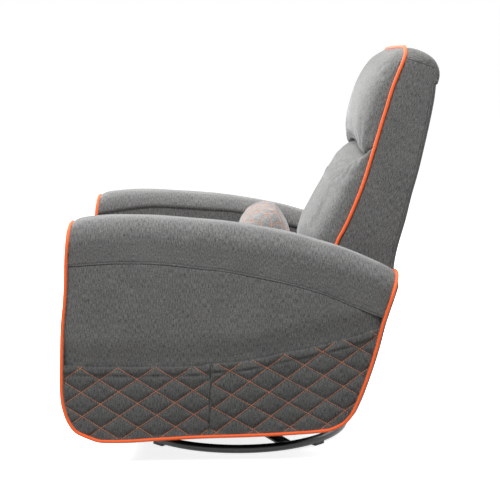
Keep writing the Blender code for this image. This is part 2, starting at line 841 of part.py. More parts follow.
footrest_half = inner_face - footrest_side_gap
bracket_outline = [
    (board_rear + touch, board_pivot[1] - bracket_half),
    (board_pivot[0] + bracket_half, board_pivot[1] - bracket_half),
    (board_pivot[0] + bracket_half, board_pivot[1] + bracket_half),
    (board_rear + bracket_half, board_pivot[1] + footrest_bracket_rise),
    (board_rear + touch, board_pivot[1] + footrest_bracket_rise)]
strip_low = board_pivot[1] + 3 * bracket_half
strip_high = strip_low + 2 * bracket_half
footrest_strip = box((-lane(4)[1] + touch, board_rear + touch, strip_low),
                     (lane(4)[1] - touch, board_rear + touch + plate_thickness, strip_high))
bracket_solids = [footrest_strip]
bracket_solids += [prism(bracket_outline, *span(side, *lane(4))) for side in (1, -1)]
hang_on(welded("footrest_brackets", zinc_steel, bracket_solids, [board_hole]), (0, *board_pivot))
footrest_board = box((-footrest_half, board_front, footrest_low),
                     (footrest_half, board_rear, footrest_high))
hang_on(piece("footrest_board", footrest_board, plywood), (0, *board_pivot))


def footrest_shape(across, along, up):
    """A pad that is flat on its board and crowned in front."""
    drawn = 1 - drawn_in_share * (1 - min(along, 0) ** 2)
    middle = (footrest_low + footrest_high) / 2
    depth = (1 - along) / 2 * (footrest_pad_thickness - touch)
    crown = 1 - (across ** 4 + up ** 4) * footrest_crown_share
    return (across * footrest_half * drawn, board_front - touch - depth * crown,
            middle + up * (footrest_high - footrest_low) / 2 * drawn)


hang_on(soft_block("footrest_pad", (4, 1, 3), footrest_shape, grey_fabric), (0, *board_pivot))

# Arms: plywood frames under pads, panels and pockets
crest = side_line(arm_crest_shares)
rear_edge = side_line(arm_rear_shares)
bottom_edge = side_line(arm_bottom_shares)
front_edge = side_line(arm_front_shares)
roll_seam = side_line(roll_seam_shares)
inner_seam = side_line(inner_seam_shares)
pocket_edge = side_line(pocket_edge_shares)
arm_foot = rear_edge[-rear_foot_points:] + bottom_edge + front_edge[:front_foot_points]
roll_flat = arm_width / 2 - roll_radius


def roll_stations():
    """Distances from the arm's middle, with how far the rolled top has dropped there."""
    angles = [math.pi / 2 * step / roll_steps for step in range(roll_steps + 1)]
    return [(roll_flat + roll_radius * math.sin(angle), roll_radius * (1 - math.cos(angle)))
            for angle in angles]


def corner_height(line, foot, top, drop):
    """The height where the crest, lowered by the roll, meets an end edge of the arm."""
    low, high = foot, top
    for _ in range(halving_steps):
        middle = (low + high) / 2
        if value_at(crest, value_at(line, middle), 0) - drop > middle:
            low = middle
        else:
            high = middle
    return (low + high) / 2


def dropped(line, foot_share, drop):
    """An end edge of the arm whose top has come down with the roll."""
    foot = foot_share * chair_height
    top = max(z for y, z in line)
    new_top = corner_height(line, foot, top, drop)
    lowered = []
    for y, z in line:
        height = foot + (z - foot) * (new_top - foot) / (top - foot)
        lowered.append((value_at(line, height), height) if z > foot else (y, z))
    return lowered


def fullness(offset):
    """How much of its bulge an end of the arm has at a distance from the arm's middle."""
    return 1 - (offset / (arm_width / 2)) ** 4


def arm_ends(offset, drop):
    """The front and rear edges of the arm at one distance from its middle."""
    front = moved(dropped(front_edge, front_roll_foot_share, drop), -front_bulge * fullness(offset), 0)
    rear = moved(dropped(rear_edge, rear_roll_foot_share, drop), rear_bulge * fullness(offset), 0)
    front[0] = bottom_edge[-1]
    rear[-1] = bottom_edge[0]
    return front, rear


def arm_outline(offset, drop):
    """The arm's closed outline, along its top first and then down the rear."""
    front, rear = arm_ends(offset, drop)
    return [front[-1]] + moved(crest, 0, -drop)[1:-1] + rear + bottom_edge[1:] + front[1:-1]


def loft(sections, corners=()):
    """A closed solid through outlines in planes of x, with its corners cut for the piping."""
    work = bmesh.new()
    rings = [[work.verts.new((x, y, z)) for y, z in outline] for x, outline in sections]
    count = len(rings[0])
    for ring, following in zip(rings, rings[1:]):
        for at in range(count):
            after = (at + 1) % count
            work.faces.new((ring[at], ring[after], following[after], following[at]))
    work.faces.new(rings[0])
    work.faces.new(rings[-1])
    bmesh.ops.recalc_face_normals(work, faces=work.faces)
    if corners:
        chosen = [work.edges.get((ring[at], following[at]))
                  for ring, following in zip(rings, rings[1:]) for at in corners]
        chosen += [work.edges.get((ring[at], ring[(at + 1) % count]))
                   for ring in (rings[0], rings[-1]) for at in range(corners[1], count)]
        bmesh.ops.bevel(work, geom=chosen, offset=piping_radius + piping_play, segments=1,
                        affect="EDGES", offset_type="DEPTH", clamp_overlap=False)
    bmesh.ops.triangulate(work, faces=work.faces)
    bmesh.ops.recalc_face_normals(work, faces=work.faces)
    mesh = bpy.data.meshes.new("loft")
    work.to_mesh(mesh)
    work.free()
    return mesh


def arm_form(side):
    """The whole padded arm, from which its pads and panels are cut."""
    stations = roll_stations()
    places = [(-offset, drop) for offset, drop in reversed(stations)] + stations
    sections = [(side * (arm_middle + offset), arm_outline(abs(offset), drop)) for offset, drop in places]
    return loft(sections, corners=(0, len(crest) - 1))


floor_line = -overrun
sky_line = chair_height
front_wall = place_y(0) - overrun
rear_wall = place_y(1) + overrun
front_turn, rear_turn = (place_y(share) for share in pad_turn_shares)
front_back = [(front_turn, floor_line)] + [(y, z) for y, z in moved(front_edge, pad_thickness, 0)
                                           if y < front_turn]
front_back.append((front_back[-1][0], sky_line))
rear_front = [(rear_turn, floor_line)] + [(y, z) for y, z in moved(rear_edge, -pad_thickness, 0)
                                          if y > rear_turn][::-1]
rear_front.append((rear_front[-1][0], sky_line))


def between_pads(gap):
    """The outline of the space between the front pad and the rear pad."""
    return moved(front_back, gap, 0)[::-1] + moved(rear_front, -gap, 0)


def below(line, gap):
    """Everything under a line of the side view."""
    return moved(line, 0, -gap) + [(rear_wall, floor_line), (front_wall, floor_line)]


def above(line, gap):
    """Everything over a line of the side view."""
    return moved(line, 0, gap) + [(rear_wall, sky_line), (front_wall, sky_line)]


panel_inner = outer_face - panel_thickness
inner_panel_low = inner_face + inner_recess
inner_panel_high = inner_panel_low + inner_panel_thickness
outer_ply_low = panel_inner - touch - ply_thickness
inner_ply_high = inner_panel_high + touch + ply_thickness
quilt_low = outer_face - quilt_rise
slit_high = quilt_low - pocket_skin
slit_low = slit_high - pocket_slit
pocket_seam_y = place_y(pocket_seam_share)
ply_inset = pad_thickness / 2


def quilt_slab(side, turn_deg, corner):
    """A slab whose outer face is a lattice of raised diamonds round a crossing of the seams."""
    work = bmesh.new()
    grid = bmesh.ops.create_grid(work, x_segments=quilt_columns, y_segments=quilt_rows, size=1)
    for vertex in grid["verts"]:
        column = round((vertex.co.x + 1) / 2 * quilt_columns)
        row = round((vertex.co.y + 1) / 2 * quilt_rows)
        raised = (column + row) % 2
        vertex.co = ((column - quilt_columns // 2) * diamond_width / 2,
                     (row - quilt_rows // 2) * diamond_height / 2, quilt_rise * raised)
    seams = []
    for face in list(work.faces):
        low = [vertex for vertex in face.verts if vertex.co.z < quilt_rise / 2]
        seams.append((face, low))
    for face, low in seams:
        bmesh.utils.face_split(face, low[0], low[1])
    extruded = bmesh.ops.extrude_face_region(work, geom=work.faces[:])["geom"]
    for item in extruded:
        if isinstance(item, bmesh.types.BMVert):
            item.co.z = slit_low - quilt_low - overrun
    bmesh.ops.recalc_face_normals(work, faces=work.faces)
    mesh = bpy.data.meshes.new("quilt")
    work.to_mesh(mesh)
    work.free()
    turn = Matrix.Rotation(math.radians(turn_deg), 4, "Z")
    mesh.transform(Matrix.Translation((quilt_low, *corner)) @ stand_side @ turn)
    if side < 0:
        mesh.transform(Matrix.Diagonal((-1, 1, 1, 1)))
    return tidied(mesh)


front_quilt_corner, rear_quilt_corner = side_line([front_quilt_shares, rear_quilt_shares])
handle_middle = (swivel_y - handle_ahead, handle_height)


def rounded_box(middle, length, height):
    """A rounded rectangle of the side view."""
    radius = height * cup_round_share
    outline = []
    for quarter, (along, up) in enumerate(((1, 1), (-1, 1), (-1, -1), (1, -1))):
        for step in range(box_corner_steps + 1):
            angle = math.pi / 2 * (quarter + step / box_corner_steps)
            outline.append((middle[0] + along * (length / 2 - radius) + radius * math.cos(angle),
                            middle[1] + up * (height / 2 - radius) + radius * math.sin(angle)))
    return outline


def inset_below(outline_edge, rim, start, end):
    """The inside of a pocket between two places along the arm, a rim away from its edges."""
    stations = [start + (end - start) * step / slit_steps for step in range(slit_steps + 1)]
    under = [(y, value_at(arm_foot, y, 0) + rim) for y in stations]
    return under + [(y, value_at(outline_edge, y, 0) + overrun) for y in reversed(stations)]


front_slit = (place_y(0) + 2 * pocket_rim, pocket_seam_y - pocket_rim)
rear_slit = (pocket_seam_y + pocket_rim, place_y(arm_rear_shares[4][0]) - pocket_rim)


def mouth_outline(start, end):
    """A band over the pocket's top edge, where a hand goes in."""
    edge = [(start, value_at(pocket_edge, start, 0))]
    edge += [point for point in pocket_edge if start < point[0] < end]
    edge.append((end, value_at(pocket_edge, end, 0)))
    return moved(edge, 0, -pocket_mouth) + moved(edge, 0, pocket_mouth)[::-1]


def pocket(name, side, form, low_y, high_y, slit_ends, slab):
    """A quilted pocket with its slit open at the top."""
    region = [(low_y, floor_line), (high_y, floor_line)]
    edge = [(low_y, value_at(pocket_edge, low_y, 0))]
    edge += [point for point in pocket_edge if low_y < point[0] < high_y]
    edge.append((high_y, value_at(pocket_edge, high_y, 0)))
    region += edge[::-1]
    slit = cutter(name + "_slit", prism(inset_below(pocket_edge, pocket_rim, *slit_ends),
                                        *span(side, slit_low - overrun, slit_high)))
    slab_cutter = cutter(name + "_quilt", slab)
    made = shaped(name, quilt_fabric, prism(region, *span(side, slit_low, outer_face + overrun)),
                  keep=[form, slab_cutter], cuts=[slit])
    return made


def arm_cord(side):
    """The piping cord: up the inner front edge, over the arch, round the side and down the rear."""
    stations = roll_stations()
    inner, outer = side * inner_face, side * outer_face
    front_side, rear_side = arm_ends(arm_width / 2, roll_radius)
    across = [(-offset, drop) for offset, drop in reversed(stations)] + stations
    path = [(inner, y, z) for y, z in front_side[3:-1]]
    for offset, drop in across:
        path.append((side * (arm_middle + offset), *arm_ends(abs(offset), drop)[0][-1]))
    path += [(outer, y, z) for y, z in front_side[-2:0:-1]]
    path += [(outer, y, z) for y, z in bottom_edge[::-1]]
    path += [(outer, y, z) for y, z in rear_side[-2:0:-1]]
    for offset, drop in reversed(across):
        path.append((side * (arm_middle + offset), *arm_ends(abs(offset), drop)[1][0]))
    path += [(inner, y, z) for y, z in rear_side[1:4]]
    return tube(path, piping_radius)


handle_cup_low = outer_face - handle_cup_depth
cup_hole = cutter("handle_cup_hole", prism(
    rounded_box(handle_middle, handle_cup_length + 2 * touch, handle_cup_height + 2 * touch),
    -outer_face - overrun, -panel_inner + cup_hole_overrun))
cable_hole = cutter("cable_hole", rod((-outer_face, cable_y, cable_height),
                                      (-lane(2)[1] - touch, cable_y, cable_height),
                                      cable_radius + touch, cable_steps))


def build_arm(side, word):
    """All the pieces of one arm."""
    form = cutter(word + "_arm_form", arm_form(side))
    outside = span(side, panel_inner - touch, outer_face + overrun)
    inside = span(side, inner_face - overrun, inner_panel_high + touch)
    outer_slab = cutter(word + "_outer_slab", prism(below(roll_seam, -touch), *outside))
    inner_slab = cutter(word + "_inner_slab", prism(below(inner_seam, -touch), *inside))
    whole = span(side, inner_face - overrun, outer_face + overrun)
    front_region = front_back + [(front_wall, sky_line), (front_wall, floor_line)]
    shaped(word + "_arm_front_pad", grey_fabric, prism(front_region, *whole),
           keep=[form], cuts=[outer_slab])
    rear_region = rear_front + [(rear_wall, sky_line), (rear_wall, floor_line)]
    shaped(word + "_arm_rear_pad", grey_fabric, prism(rear_region, *whole),
           keep=[form], cuts=[outer_slab])
    middle = cutter(word + "_arm_middle", prism(between_pads(touch), *whole))
    shaped(word + "_arm_top_pad", grey_fabric, prism(above(roll_seam, touch), *whole),
           keep=[form, middle], cuts=[inner_slab, outer_slab])
    seat = cutter(word + "_pocket_seat", prism(
        below(pocket_edge, -touch), *span(side, slit_low - touch, outer_face + overrun)))
    mouths = [cutter(word + "_pocket_mouth", prism(
        mouth_outline(start, end), *span(side, slit_low - touch, outer_face + overrun)))
        for start, end in (front_slit, rear_slit)]
    holes = [cup_hole] if side < 0 else []
    shaped(word + "_arm_outer_panel", grey_fabric,
           prism(below(roll_seam, touch), *span(side, panel_inner, outer_face + overrun)),
           keep=[form], cuts=[seat] + mouths + holes)
    inner_bores = [cable_hole] if side < 0 else []
    shaped(word + "_arm_inner_panel", grey_fabric,
           prism(below(inner_seam, touch), *span(side, inner_panel_low, inner_panel_high)),
           keep=[form, middle], cuts=inner_bores)
    build_frame(side, word, middle, inner_bores)
    piece(word + "_arm_piping", arm_cord(side), orange_cord)
    pocket(word + "_front_pocket", side, form, front_wall, pocket_seam_y - touch, front_slit,
           quilt_slab(side, front_quilt_turn_deg, front_quilt_corner))
    pocket(word + "_rear_pocket", side, form, pocket_seam_y + touch, rear_wall, rear_slit,
           quilt_slab(side, rear_quilt_turn_deg, rear_quilt_corner))


def build_frame(side, word, middle, bores):
    """The arm's wooden frame: two plywood sides glued to a post at each end."""
    stations = [front_wall + (rear_wall - front_wall) * at / frame_steps
                for at in range(frame_steps + 1)]
    under = [(y, value_at(arm_foot, y, 0) + ply_inset) for y in stations]
    outline = under + moved(roll_seam, 0, -2 * touch)[::-1]
    well = cutter(word + "_frame_well", prism(between_pads(block_size),
                                              *span(side, inner_ply_high, outer_ply_low)))
    shaped(word + "_arm_frame", plywood,
           prism(outline, *span(side, inner_panel_high + touch, panel_inner - touch)),
           keep=[middle], cuts=[well] + bores)


build_arm(1, "left")
build_arm(-1, "right")

# Release handle: a lever in a cup on the outside of the right arm, and its cable
cup_outline = rounded_box(handle_middle, handle_cup_length, handle_cup_height)
cup_inside = rounded_box(handle_middle, handle_cup_length - 2 * handle_cup_wall,
                         handle_cup_height - 2 * handle_cup_wall)
cup_cavity = cutter("handle_cup_cavity", prism(cup_inside, -outer_face - overrun,
                                               -handle_cup_low - handle_cup_wall))
shaped("handle_cup", black_plastic, prism(cup_outline, -outer_face, -handle_cup_low), cuts=[cup_cavity])
lever_front = handle_middle[0] - handle_lever_length / 2
lever_half_height = handle_cup_height / 2 - handle_cup_wall - touch
lever_x = -(outer_face - handle_barrel_radius - running_gap)
lever_pivot = (lever_x, lever_front + handle_barrel_radius, handle_height)
lever = piece("release_handle", box(
    (lever_x - handle_lever_thickness / 2, lever_pivot[1], handle_height - lever_half_height / 2),
    (lever_x + handle_lever_thickness / 2, lever_front + handle_lever_length,
     handle_height + lever_half_height / 2)), black_plastic)
barrel = cutter("handle_barrel", rod((*lever_pivot[:2], handle_height - lever_half_height),
                                     (*lever_pivot[:2], handle_height + lever_half_height),
                                     handle_barrel_radius))
combine(lever, barrel, "UNION")
baked(lever)
lever.data.materials.append(black_plastic)
hang_on(lever, lever_pivot)
piece("release_cable", tube([(-handle_cup_low + touch, cable_y, cable_height),
                             (-lane(2)[1] - touch, cable_y, cable_height)], cable_radius), black_plastic)

# Back: a padded cover over posts and rails, with two cushions in front
back_half = inner_face - back_side_gap
back_front = side_line(back_front_shares)
back_rear = side_line(back_rear_shares)
recline_axis = (0, *recline_pivot)
back_top = chair_height


def front_view_outline(half, top, radius):
    """The back seen from the front, with round upper corners."""
    outline = [(-half, 0), (half, 0)]
    for centre, first in ((half - radius, 0), (radius - half, 1)):
        for step in range(corner_steps + 1):
            angle = math.pi / 2 * (first + step / corner_steps)
            outline.append((centre + radius * math.cos(angle), top - radius + radius * math.sin(angle)))
    return outline


back_view = cutter("back_front_view", prism(front_view_outline(back_half, back_top, back_corner_radius),
                                            -place_y(0), -place_y(1) - overrun, stand_front))
inner_rear = moved(back_rear, -back_wall, 0)
inner_rear = [(y, min(z, back_top - 2 * back_wall)) for y, z in inner_rear[1:]]
cavity_outline = [(y - overrun, min(z, back_top - 2 * back_wall)) for y, z in back_front]
cavity_foot = inner_rear[-1][1] - overrun
cavity_outline += [(place_y(back_cavity_foot_share), cavity_foot),
                   (inner_rear[-1][0] - 2 * touch, cavity_foot)]
back_cavity = cutter("back_cavity", prism(cavity_outline + inner_rear[::-1], -back_half + back_side_wall,
                                          back_half - back_side_wall))
back_cover = shaped("back_cover", grey_fabric, prism(back_front[::-1] + back_rear, -inner_face, inner_face),
                    keep=[back_view])


def seat_the_cord(made, line):
    """Cut the corner that the piping lies in along the cover's front edge."""
    work = bmesh.new()
    work.from_mesh(made.data)
    chosen = []
    for edge in work.edges:
        on_line = all(abs(vertex.co.y - value_at(line, vertex.co.z)) < touch for vertex in edge.verts)
        if on_line and edge.is_manifold and edge.calc_face_angle() > math.radians(cord_corner_deg):
            if min(vertex.co.z for vertex in edge.verts) > line[-1][1] - touch:
                chosen.append(edge)
    bmesh.ops.bevel(work, geom=chosen, offset=piping_radius + piping_play, segments=1,
                    affect="EDGES", offset_type="DEPTH", clamp_overlap=False)
    work.to_mesh(made.data)
    work.free()


seat_the_cord(back_cover, back_front)
combine(back_cover, back_cavity, "DIFFERENCE")
baked(back_cover)
back_cover.data.materials.append(grey_fabric)
hang_on(back_cover, recline_axis)


def back_cord():
    """The piping up one side of the back, over its top and down the other side."""
    line_top = back_front[0][1]
    start = back_front[-1][1] + 3 * piping_seat
    climb = [(back_half, value_at(back_front, start), start)]
    climb += [(back_half, y, z) for y, z in back_front[::-1] if start < z < back_top - back_corner_radius]
    corner = []
    for step in range(corner_steps + 1):
        angle = math.pi / 2 * step / corner_steps
        x = back_half - back_corner_radius + back_corner_radius * math.cos(angle)
        z = back_top - back_corner_radius + back_corner_radius * math.sin(angle)
        if z < line_top:
            corner.append((x, value_at(back_front, z) - piping_play, z + piping_play))
    reach = math.sqrt(back_corner_radius ** 2 - (line_top - back_top + back_corner_radius) ** 2)
    corner.append((back_half - back_corner_radius + reach, back_front[0][0] - piping_play,
                   line_top + piping_play))
    half_path = climb + corner
    return tube(half_path + [(-x, y, z) for x, y, z in reversed(half_path)], piping_radius)


hang_on(piece("back_piping", back_cord(), orange_cord), recline_axis)


def post_outline():
    """A steel post from the recline pivot up inside the back."""
    spine = [recline_pivot] + side_line(back_post_shares)
    left, right = [], []
    for at, place in enumerate(spine):
        before = Vector(spine[max(at - 1, 0)])
        after = Vector(spine[min(at + 1, len(spine) - 1)])
        run = (after - before).normalized()
        normal = Vector((-run.y, run.x)) * post_half_width
        left.append(tuple(Vector(place) + normal))
        right.append(tuple(Vector(place) - normal))
    run = (Vector(spine[1]) - Vector(spine[0])).normalized() * post_half_width
    return right + left[::-1] + [tuple(Vector(spine[0]) - run)]


for side, word in ((1, "left"), (-1, "right")):
    pin = cross_rod(recline_pivot, pin_radius, side, lane(2)[0] + touch, lane(3)[1] - touch)
    post = prism(post_outline(), *span(side, *lane(3)))
    hang_on(welded(word + "_back_post", black_steel, [post, pin]), recline_axis)


def back_rail(share):
    """A wooden rail between the posts, from the cushions to the rear wall."""
    low, high = share * chair_height, share * chair_height + back_rail_height
    outline = [(value_at(back_front, low) + touch, low), (value_at(inner_rear, low) - touch, low),
               (value_at(inner_rear, high) - touch, high), (value_at(back_front, high) + touch, high)]
    reach = lane(3)[0] - touch
    return prism(outline, -reach, reach)


for word, share in zip(("lower", "top"), back_rail_shares):
    hang_on(piece("back_" + word + "_rail", back_rail(share), plywood), recline_axis)


def back_cushion(name, low, high, crown_shares, cuts, rest_gap):
    """A cushion on the front of the back, flat behind and crowned in front."""
    crown = side_line(crown_shares)
    half = back_half - cushion_piping_gap

    def shape(across, along, up):
        z = (low + high) / 2 + up * (high - low) / 2
        rest = value_at(back_front, z) - rest_gap
        front = value_at(crown, z)
        fullness = (1 - abs(across) ** 3) * (1 - up ** 6)
        depth = cushion_edge_depth + (rest - front - cushion_edge_depth) * fullness
        y = rest - depth if along < 0 else rest
        drawn = 1 - drawn_in_share * (1 - up * up)
        return across * half * drawn, y, z

    hang_on(soft_block(name, cuts, shape, grey_fabric), recline_axis)


back_cushion("lower_back_cushion", back_cushion_foot, cushion_join_height - cushion_join_gap / 2,
             lower_crown_shares, (5, 0, 6), lower_rest_gap)
back_cushion("head_cushion", cushion_join_height + cushion_join_gap / 2,
             back_front[0][1] - cushion_piping_gap, head_crown_shares, (5, 0, 5), head_rest_gap)

# Rear panel: a padded panel that closes the body behind the mechanism
rear_panel = side_line(rear_panel_shares)
rear_panel_half = inner_face - touch
panel_back = moved(rear_panel, -rear_panel_thickness, 0)
hollow_outline = [(panel_back[0][0], panel_back[0][1] + overrun)] + panel_back
hollow_outline += [(panel_back[-1][0], panel_back[-1][1] - overrun),
                   (panel_back[-1][0] - 2 * overrun, panel_back[-1][1] - overrun),
                   (panel_back[-1][0] - 2 * overrun, panel_back[0][1] + overrun)]
panel_hollow = cutter("rear_panel_hollow", prism(hollow_outline, -back_half - touch, back_half + touch))
rear_panel_outline = rear_panel + moved(rear_panel, -rear_flange_depth, 0)[::-1]
shaped("rear_panel", grey_fabric, prism(rear_panel_outline, -rear_panel_half, rear_panel_half),
       cuts=[panel_hollow])

# Lumbar pillow: a plump quilted roll that lies loose on the seat


def pillow():
    """A roll through tapered sections, with its seams drawn in as diamonds."""
    foot = seat_cushion_height + pillow_rest
    section = [(place_y(along), foot + up * pillow_height) for along, up in pillow_shares]
    middle_y = sum(y for y, z in section) / len(section)
    sections = []
    for ring in range(pillow_rings + 1):
        along = 2 * ring / pillow_rings - 1
        end = math.sqrt(max(0, 1 - abs(along) ** 5))
        fullness = end * (1 - pillow_end_share) + pillow_end_share
        outline = []
        for at, (y, z) in enumerate(section):
            raised = (at + ring) % 2
            size = fullness * (1 - (1 - raised) * pillow_tuft_share)
            outline.append((middle_y + (y - middle_y) * size, foot + (z - foot) * size))
        sections.append((along * pillow_width / 2, outline))
    return loft(sections)


piece("lumbar_pillow", pillow(), pillow_fabric)
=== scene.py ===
"""The looks of a swivel glider recliner armchair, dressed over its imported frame.

Metres, +Z up. The chair faces -Y and its left side is +X, as in the frame.
"""
import math

import bmesh
import bpy
import numpy as np
from mathutils import Matrix, Vector


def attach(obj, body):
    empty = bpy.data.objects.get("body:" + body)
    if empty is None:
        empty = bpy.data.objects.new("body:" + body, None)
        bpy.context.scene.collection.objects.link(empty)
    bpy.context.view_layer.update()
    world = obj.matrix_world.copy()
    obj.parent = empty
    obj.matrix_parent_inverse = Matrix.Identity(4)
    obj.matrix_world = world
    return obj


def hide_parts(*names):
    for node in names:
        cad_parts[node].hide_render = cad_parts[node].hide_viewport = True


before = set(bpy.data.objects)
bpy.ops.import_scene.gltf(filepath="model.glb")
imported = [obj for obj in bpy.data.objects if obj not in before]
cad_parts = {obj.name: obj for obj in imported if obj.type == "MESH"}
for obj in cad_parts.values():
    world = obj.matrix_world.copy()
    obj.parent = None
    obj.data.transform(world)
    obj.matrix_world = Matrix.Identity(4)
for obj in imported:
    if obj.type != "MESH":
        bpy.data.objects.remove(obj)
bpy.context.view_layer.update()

# Base ring. A steel tube rolled into a hoop, butt welded and powder coated satin black. A small
# plastic plug closes the hole that it was hung from for coating.
ring_middle = (0, -0.0335, 0.014)
ring_radius = 0.293
ring_tube = 0.011
plug_radius, plug_depth, plug_ahead = 0.0042, 0.002, 0.008


def linear(hex_colour):
    """An sRGB hex colour as the linear values that a shader takes."""
    parts = [int(hex_colour[at:at + 2], 16) / 255 for at in (1, 3, 5)]
    return [*(((part + 0.055) / 1.055) ** 2.4 if part > 0.04045 else part / 12.92
              for part in parts), 1.0]


def add_node(tree, kind, inputs=None, **settings):
    """Add one node, with its settings, its values and what leads into it.

    A node given as a value stands for its first output, or for its colour if it mixes colours.
    """
    node = tree.nodes.new("ShaderNode" + kind)
    for name, value in settings.items():
        setattr(node, name, value)
    for name, value in (inputs or {}).items():
        if isinstance(value, bpy.types.Node):
            value = value.outputs[2 if value.bl_idname == "ShaderNodeMix" else 0]
        if isinstance(value, bpy.types.NodeSocket):
            tree.links.new(value, node.inputs[name])
        else:
            node.inputs[name].default_value = value
    return node


def new_finish(name, values):
    """A material whose plain values are on its shader: itself, its tree and Object coordinates."""
    finish = bpy.data.materials.new(name)
    finish.use_nodes = True
    for socket, value in values.items():
        finish.node_tree.nodes["Principled BSDF"].inputs[socket].default_value = value
    place = add_node(finish.node_tree, "TexCoord").outputs["Object"]
    return finish, finish.node_tree, place


def tone_between(tree, share, dark, light):
    """A colour between two, by a share."""
    return add_node(tree, "Mix", {0: share, 6: linear(dark), 7: linear(light)},
                    data_type="RGBA").outputs[2]


def lead_in(tree, colour, relief=None, strength=0.0, depth=0.0):
    """Lead a colour into the shader, and a relief of some strength and depth as its bump."""
    shader = tree.nodes["Principled BSDF"]
    tree.links.new(colour, shader.inputs["Base Color"])
    if relief is not None:
        bump = add_node(tree, "Bump", {"Height": relief, "Strength": strength, "Distance": depth})
        tree.links.new(bump.outputs["Normal"], shader.inputs["Normal"])


def patterned(name, values, dark, light, texture, pattern, bump=(), relief=None):
    """A material that goes from dark to light over a texture on Object coordinates.

    bump is the strength and the depth of its relief, which has the same pattern or its own.
    """
    finish, tree, place = new_finish(name, values)
    share = add_node(tree, texture, {"Vector": place, **pattern})
    raised_by = share if relief is None else add_node(tree, texture, {"Vector": place, **relief})
    lead_in(tree, tone_between(tree, share, dark, light), raised_by if bump else None, *bump)
    return finish


def deselect():
    """Leave nothing selected, because an operator acts on all that is."""
    for each in bpy.context.selected_objects:
        each.select_set(False)


def alone(made):
    """Select one object, and make it the one that operators act on."""
    deselect()
    made.select_set(True)
    bpy.context.view_layer.objects.active = made


def finished(made, name, finish, body, replaces=(), smooth_deg=60):
    """Name a piece, set its place into its mesh, and give it its finish and its body."""
    bpy.context.view_layer.update()
    made.name = name
    made.data.name = name
    made.data.transform(made.matrix_world)
    made.matrix_world = Matrix.Identity(4)
    made.data.materials.clear()
    made.data.materials.append(finish)
    alone(made)
    bpy.ops.object.shade_smooth_by_angle(angle=math.radians(smooth_deg))
    made.select_set(False)
    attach(made, body)
    if replaces:
        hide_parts(*replaces)


# Powder-coated steel: satin black, with the slight orange peel of baked powder.
black_coat = patterned(
    "satin_black_powder_coat", {"Roughness": 0.32, "Coat Weight": 0.25, "Coat Roughness": 0.25},
    "#0c0c0d", "#1b1b1c", "TexNoise", {"Scale": 1 / 0.045, "Detail": 4.0}, bump=(0.25, 0.0003),
    relief={"Scale": 1 / 0.0016, "Detail": 2.0})
deselect()
bpy.ops.mesh.primitive_torus_add(
    major_radius=ring_radius, minor_radius=ring_tube, major_segments=144, minor_segments=20,
    location=ring_middle)
finished(bpy.context.object, "base_ring_tube", black_coat, "base", ["base_ring"],
         smooth_deg=35)
deselect()
bpy.ops.mesh.primitive_cylinder_add(
    vertices=24, radius=plug_radius, depth=plug_depth, rotation=(0, math.pi / 2, 0), location=(
        ring_middle[0] + ring_radius + ring_tube, ring_middle[1] - plug_ahead, ring_middle[2]))
finished(bpy.context.object, "ring_plug", black_coat, "base", smooth_deg=35)

# Crossbars. Two flat steel bars, welded across the ring and to each other, coated with it. Their
# edges are rolled.
crossbar_turn_deg = 26.5
crossbar_size = (0.568, 0.038, 0.006)
rolled_edge = 0.0012
for name, turn_deg in (("crossbar_long", crossbar_turn_deg),
                       ("crossbar_short", crossbar_turn_deg + 90)):
    deselect()
    bpy.ops.mesh.primitive_cube_add(size=1, location=ring_middle)
    bar = bpy.context.object
    bar.scale = crossbar_size
    bar.rotation_euler.z = math.radians(turn_deg)
    bpy.context.view_layer.update()
    bpy.ops.object.transform_apply(location=False, rotation=True, scale=True)
    bpy.ops.object.mode_set(mode="EDIT")
    bpy.ops.mesh.select_all(action="SELECT")
    bpy.ops.mesh.bevel(offset=rolled_edge, segments=2)
    bpy.ops.object.mode_set(mode="OBJECT")
    finished(bar, name, black_coat, "base", ["base_crossbars"], smooth_deg=35)

# Steel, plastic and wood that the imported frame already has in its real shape: the swivel, the
# glide, the rails, springs and links, the back's posts, the floor glides, the handle and its
# cable, and the wooden arms and rails. They keep their solids and get their finishes.

# Zinc-plated steel: bright, faintly blue and spangled, with a brushed roughness.
bright_zinc = patterned("zinc_plated_steel", {"Roughness": 0.44, "Metallic": 1.0}, "#8b8f94",
                        "#64686d", "TexVoronoi", {"Scale": 1 / 0.006})
# Moulded polypropylene: black, with the fine spark-eroded texture of its mould.
black_plastic = patterned("black_polypropylene", {"Roughness": 0.48}, "#131314", "#202021",
                          "TexNoise", {"Scale": 1 / 0.0007, "Detail": 3.0}, bump=(0.3, 0.0002))


def birch_plywood():
    """Birch plywood: pale, with a fine grain that runs long in one direction."""
    finish, tree, place = new_finish("birch_plywood", {"Roughness": 0.62})
    stretch = add_node(tree, "Mapping", {"Vector": place,
                                         "Scale": (1 / 0.004, 1 / 0.10, 1 / 0.008)})
    grain = add_node(tree, "TexNoise", {"Vector": stretch, "Scale": 1.0, "Detail": 4.0,
                                        "Distortion": 0.6})
    lead_in(tree, tone_between(tree, grain, "#b08a5c", "#dcbf93"))
    return finish


def each_side(*nodes):
    """The names of nodes that the left and the right side both have."""
    return [side + node for node in nodes for side in ("left_", "right_")]


carried = {
    black_coat: ["swivel_plate", *each_side("glide_bracket", "mechanism_rail", "back_post")],
    bright_zinc: ["swivel_pin", "lower_race", "ball_cage", "front_glide_links", "rear_glide_links",
                  "footrest_drive_tube", "footrest_brackets", "seat_springs",
                  *each_side("footrest_middle_link", "footrest_front_link")],
    black_plastic: ["floor_glide_1", "floor_glide_2", "floor_glide_3", "floor_glide_4",
                    "handle_cup", "release_handle", "release_cable"],
    birch_plywood(): ["front_seat_rail", "rear_seat_rail", "back_lower_rail", "back_top_rail",
                      "footrest_board", *each_side("arm_frame")],
}
for finish, nodes in carried.items():
    for node in nodes:
        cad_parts[node].data.materials.clear()
        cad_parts[node].data.materials.append(finish)

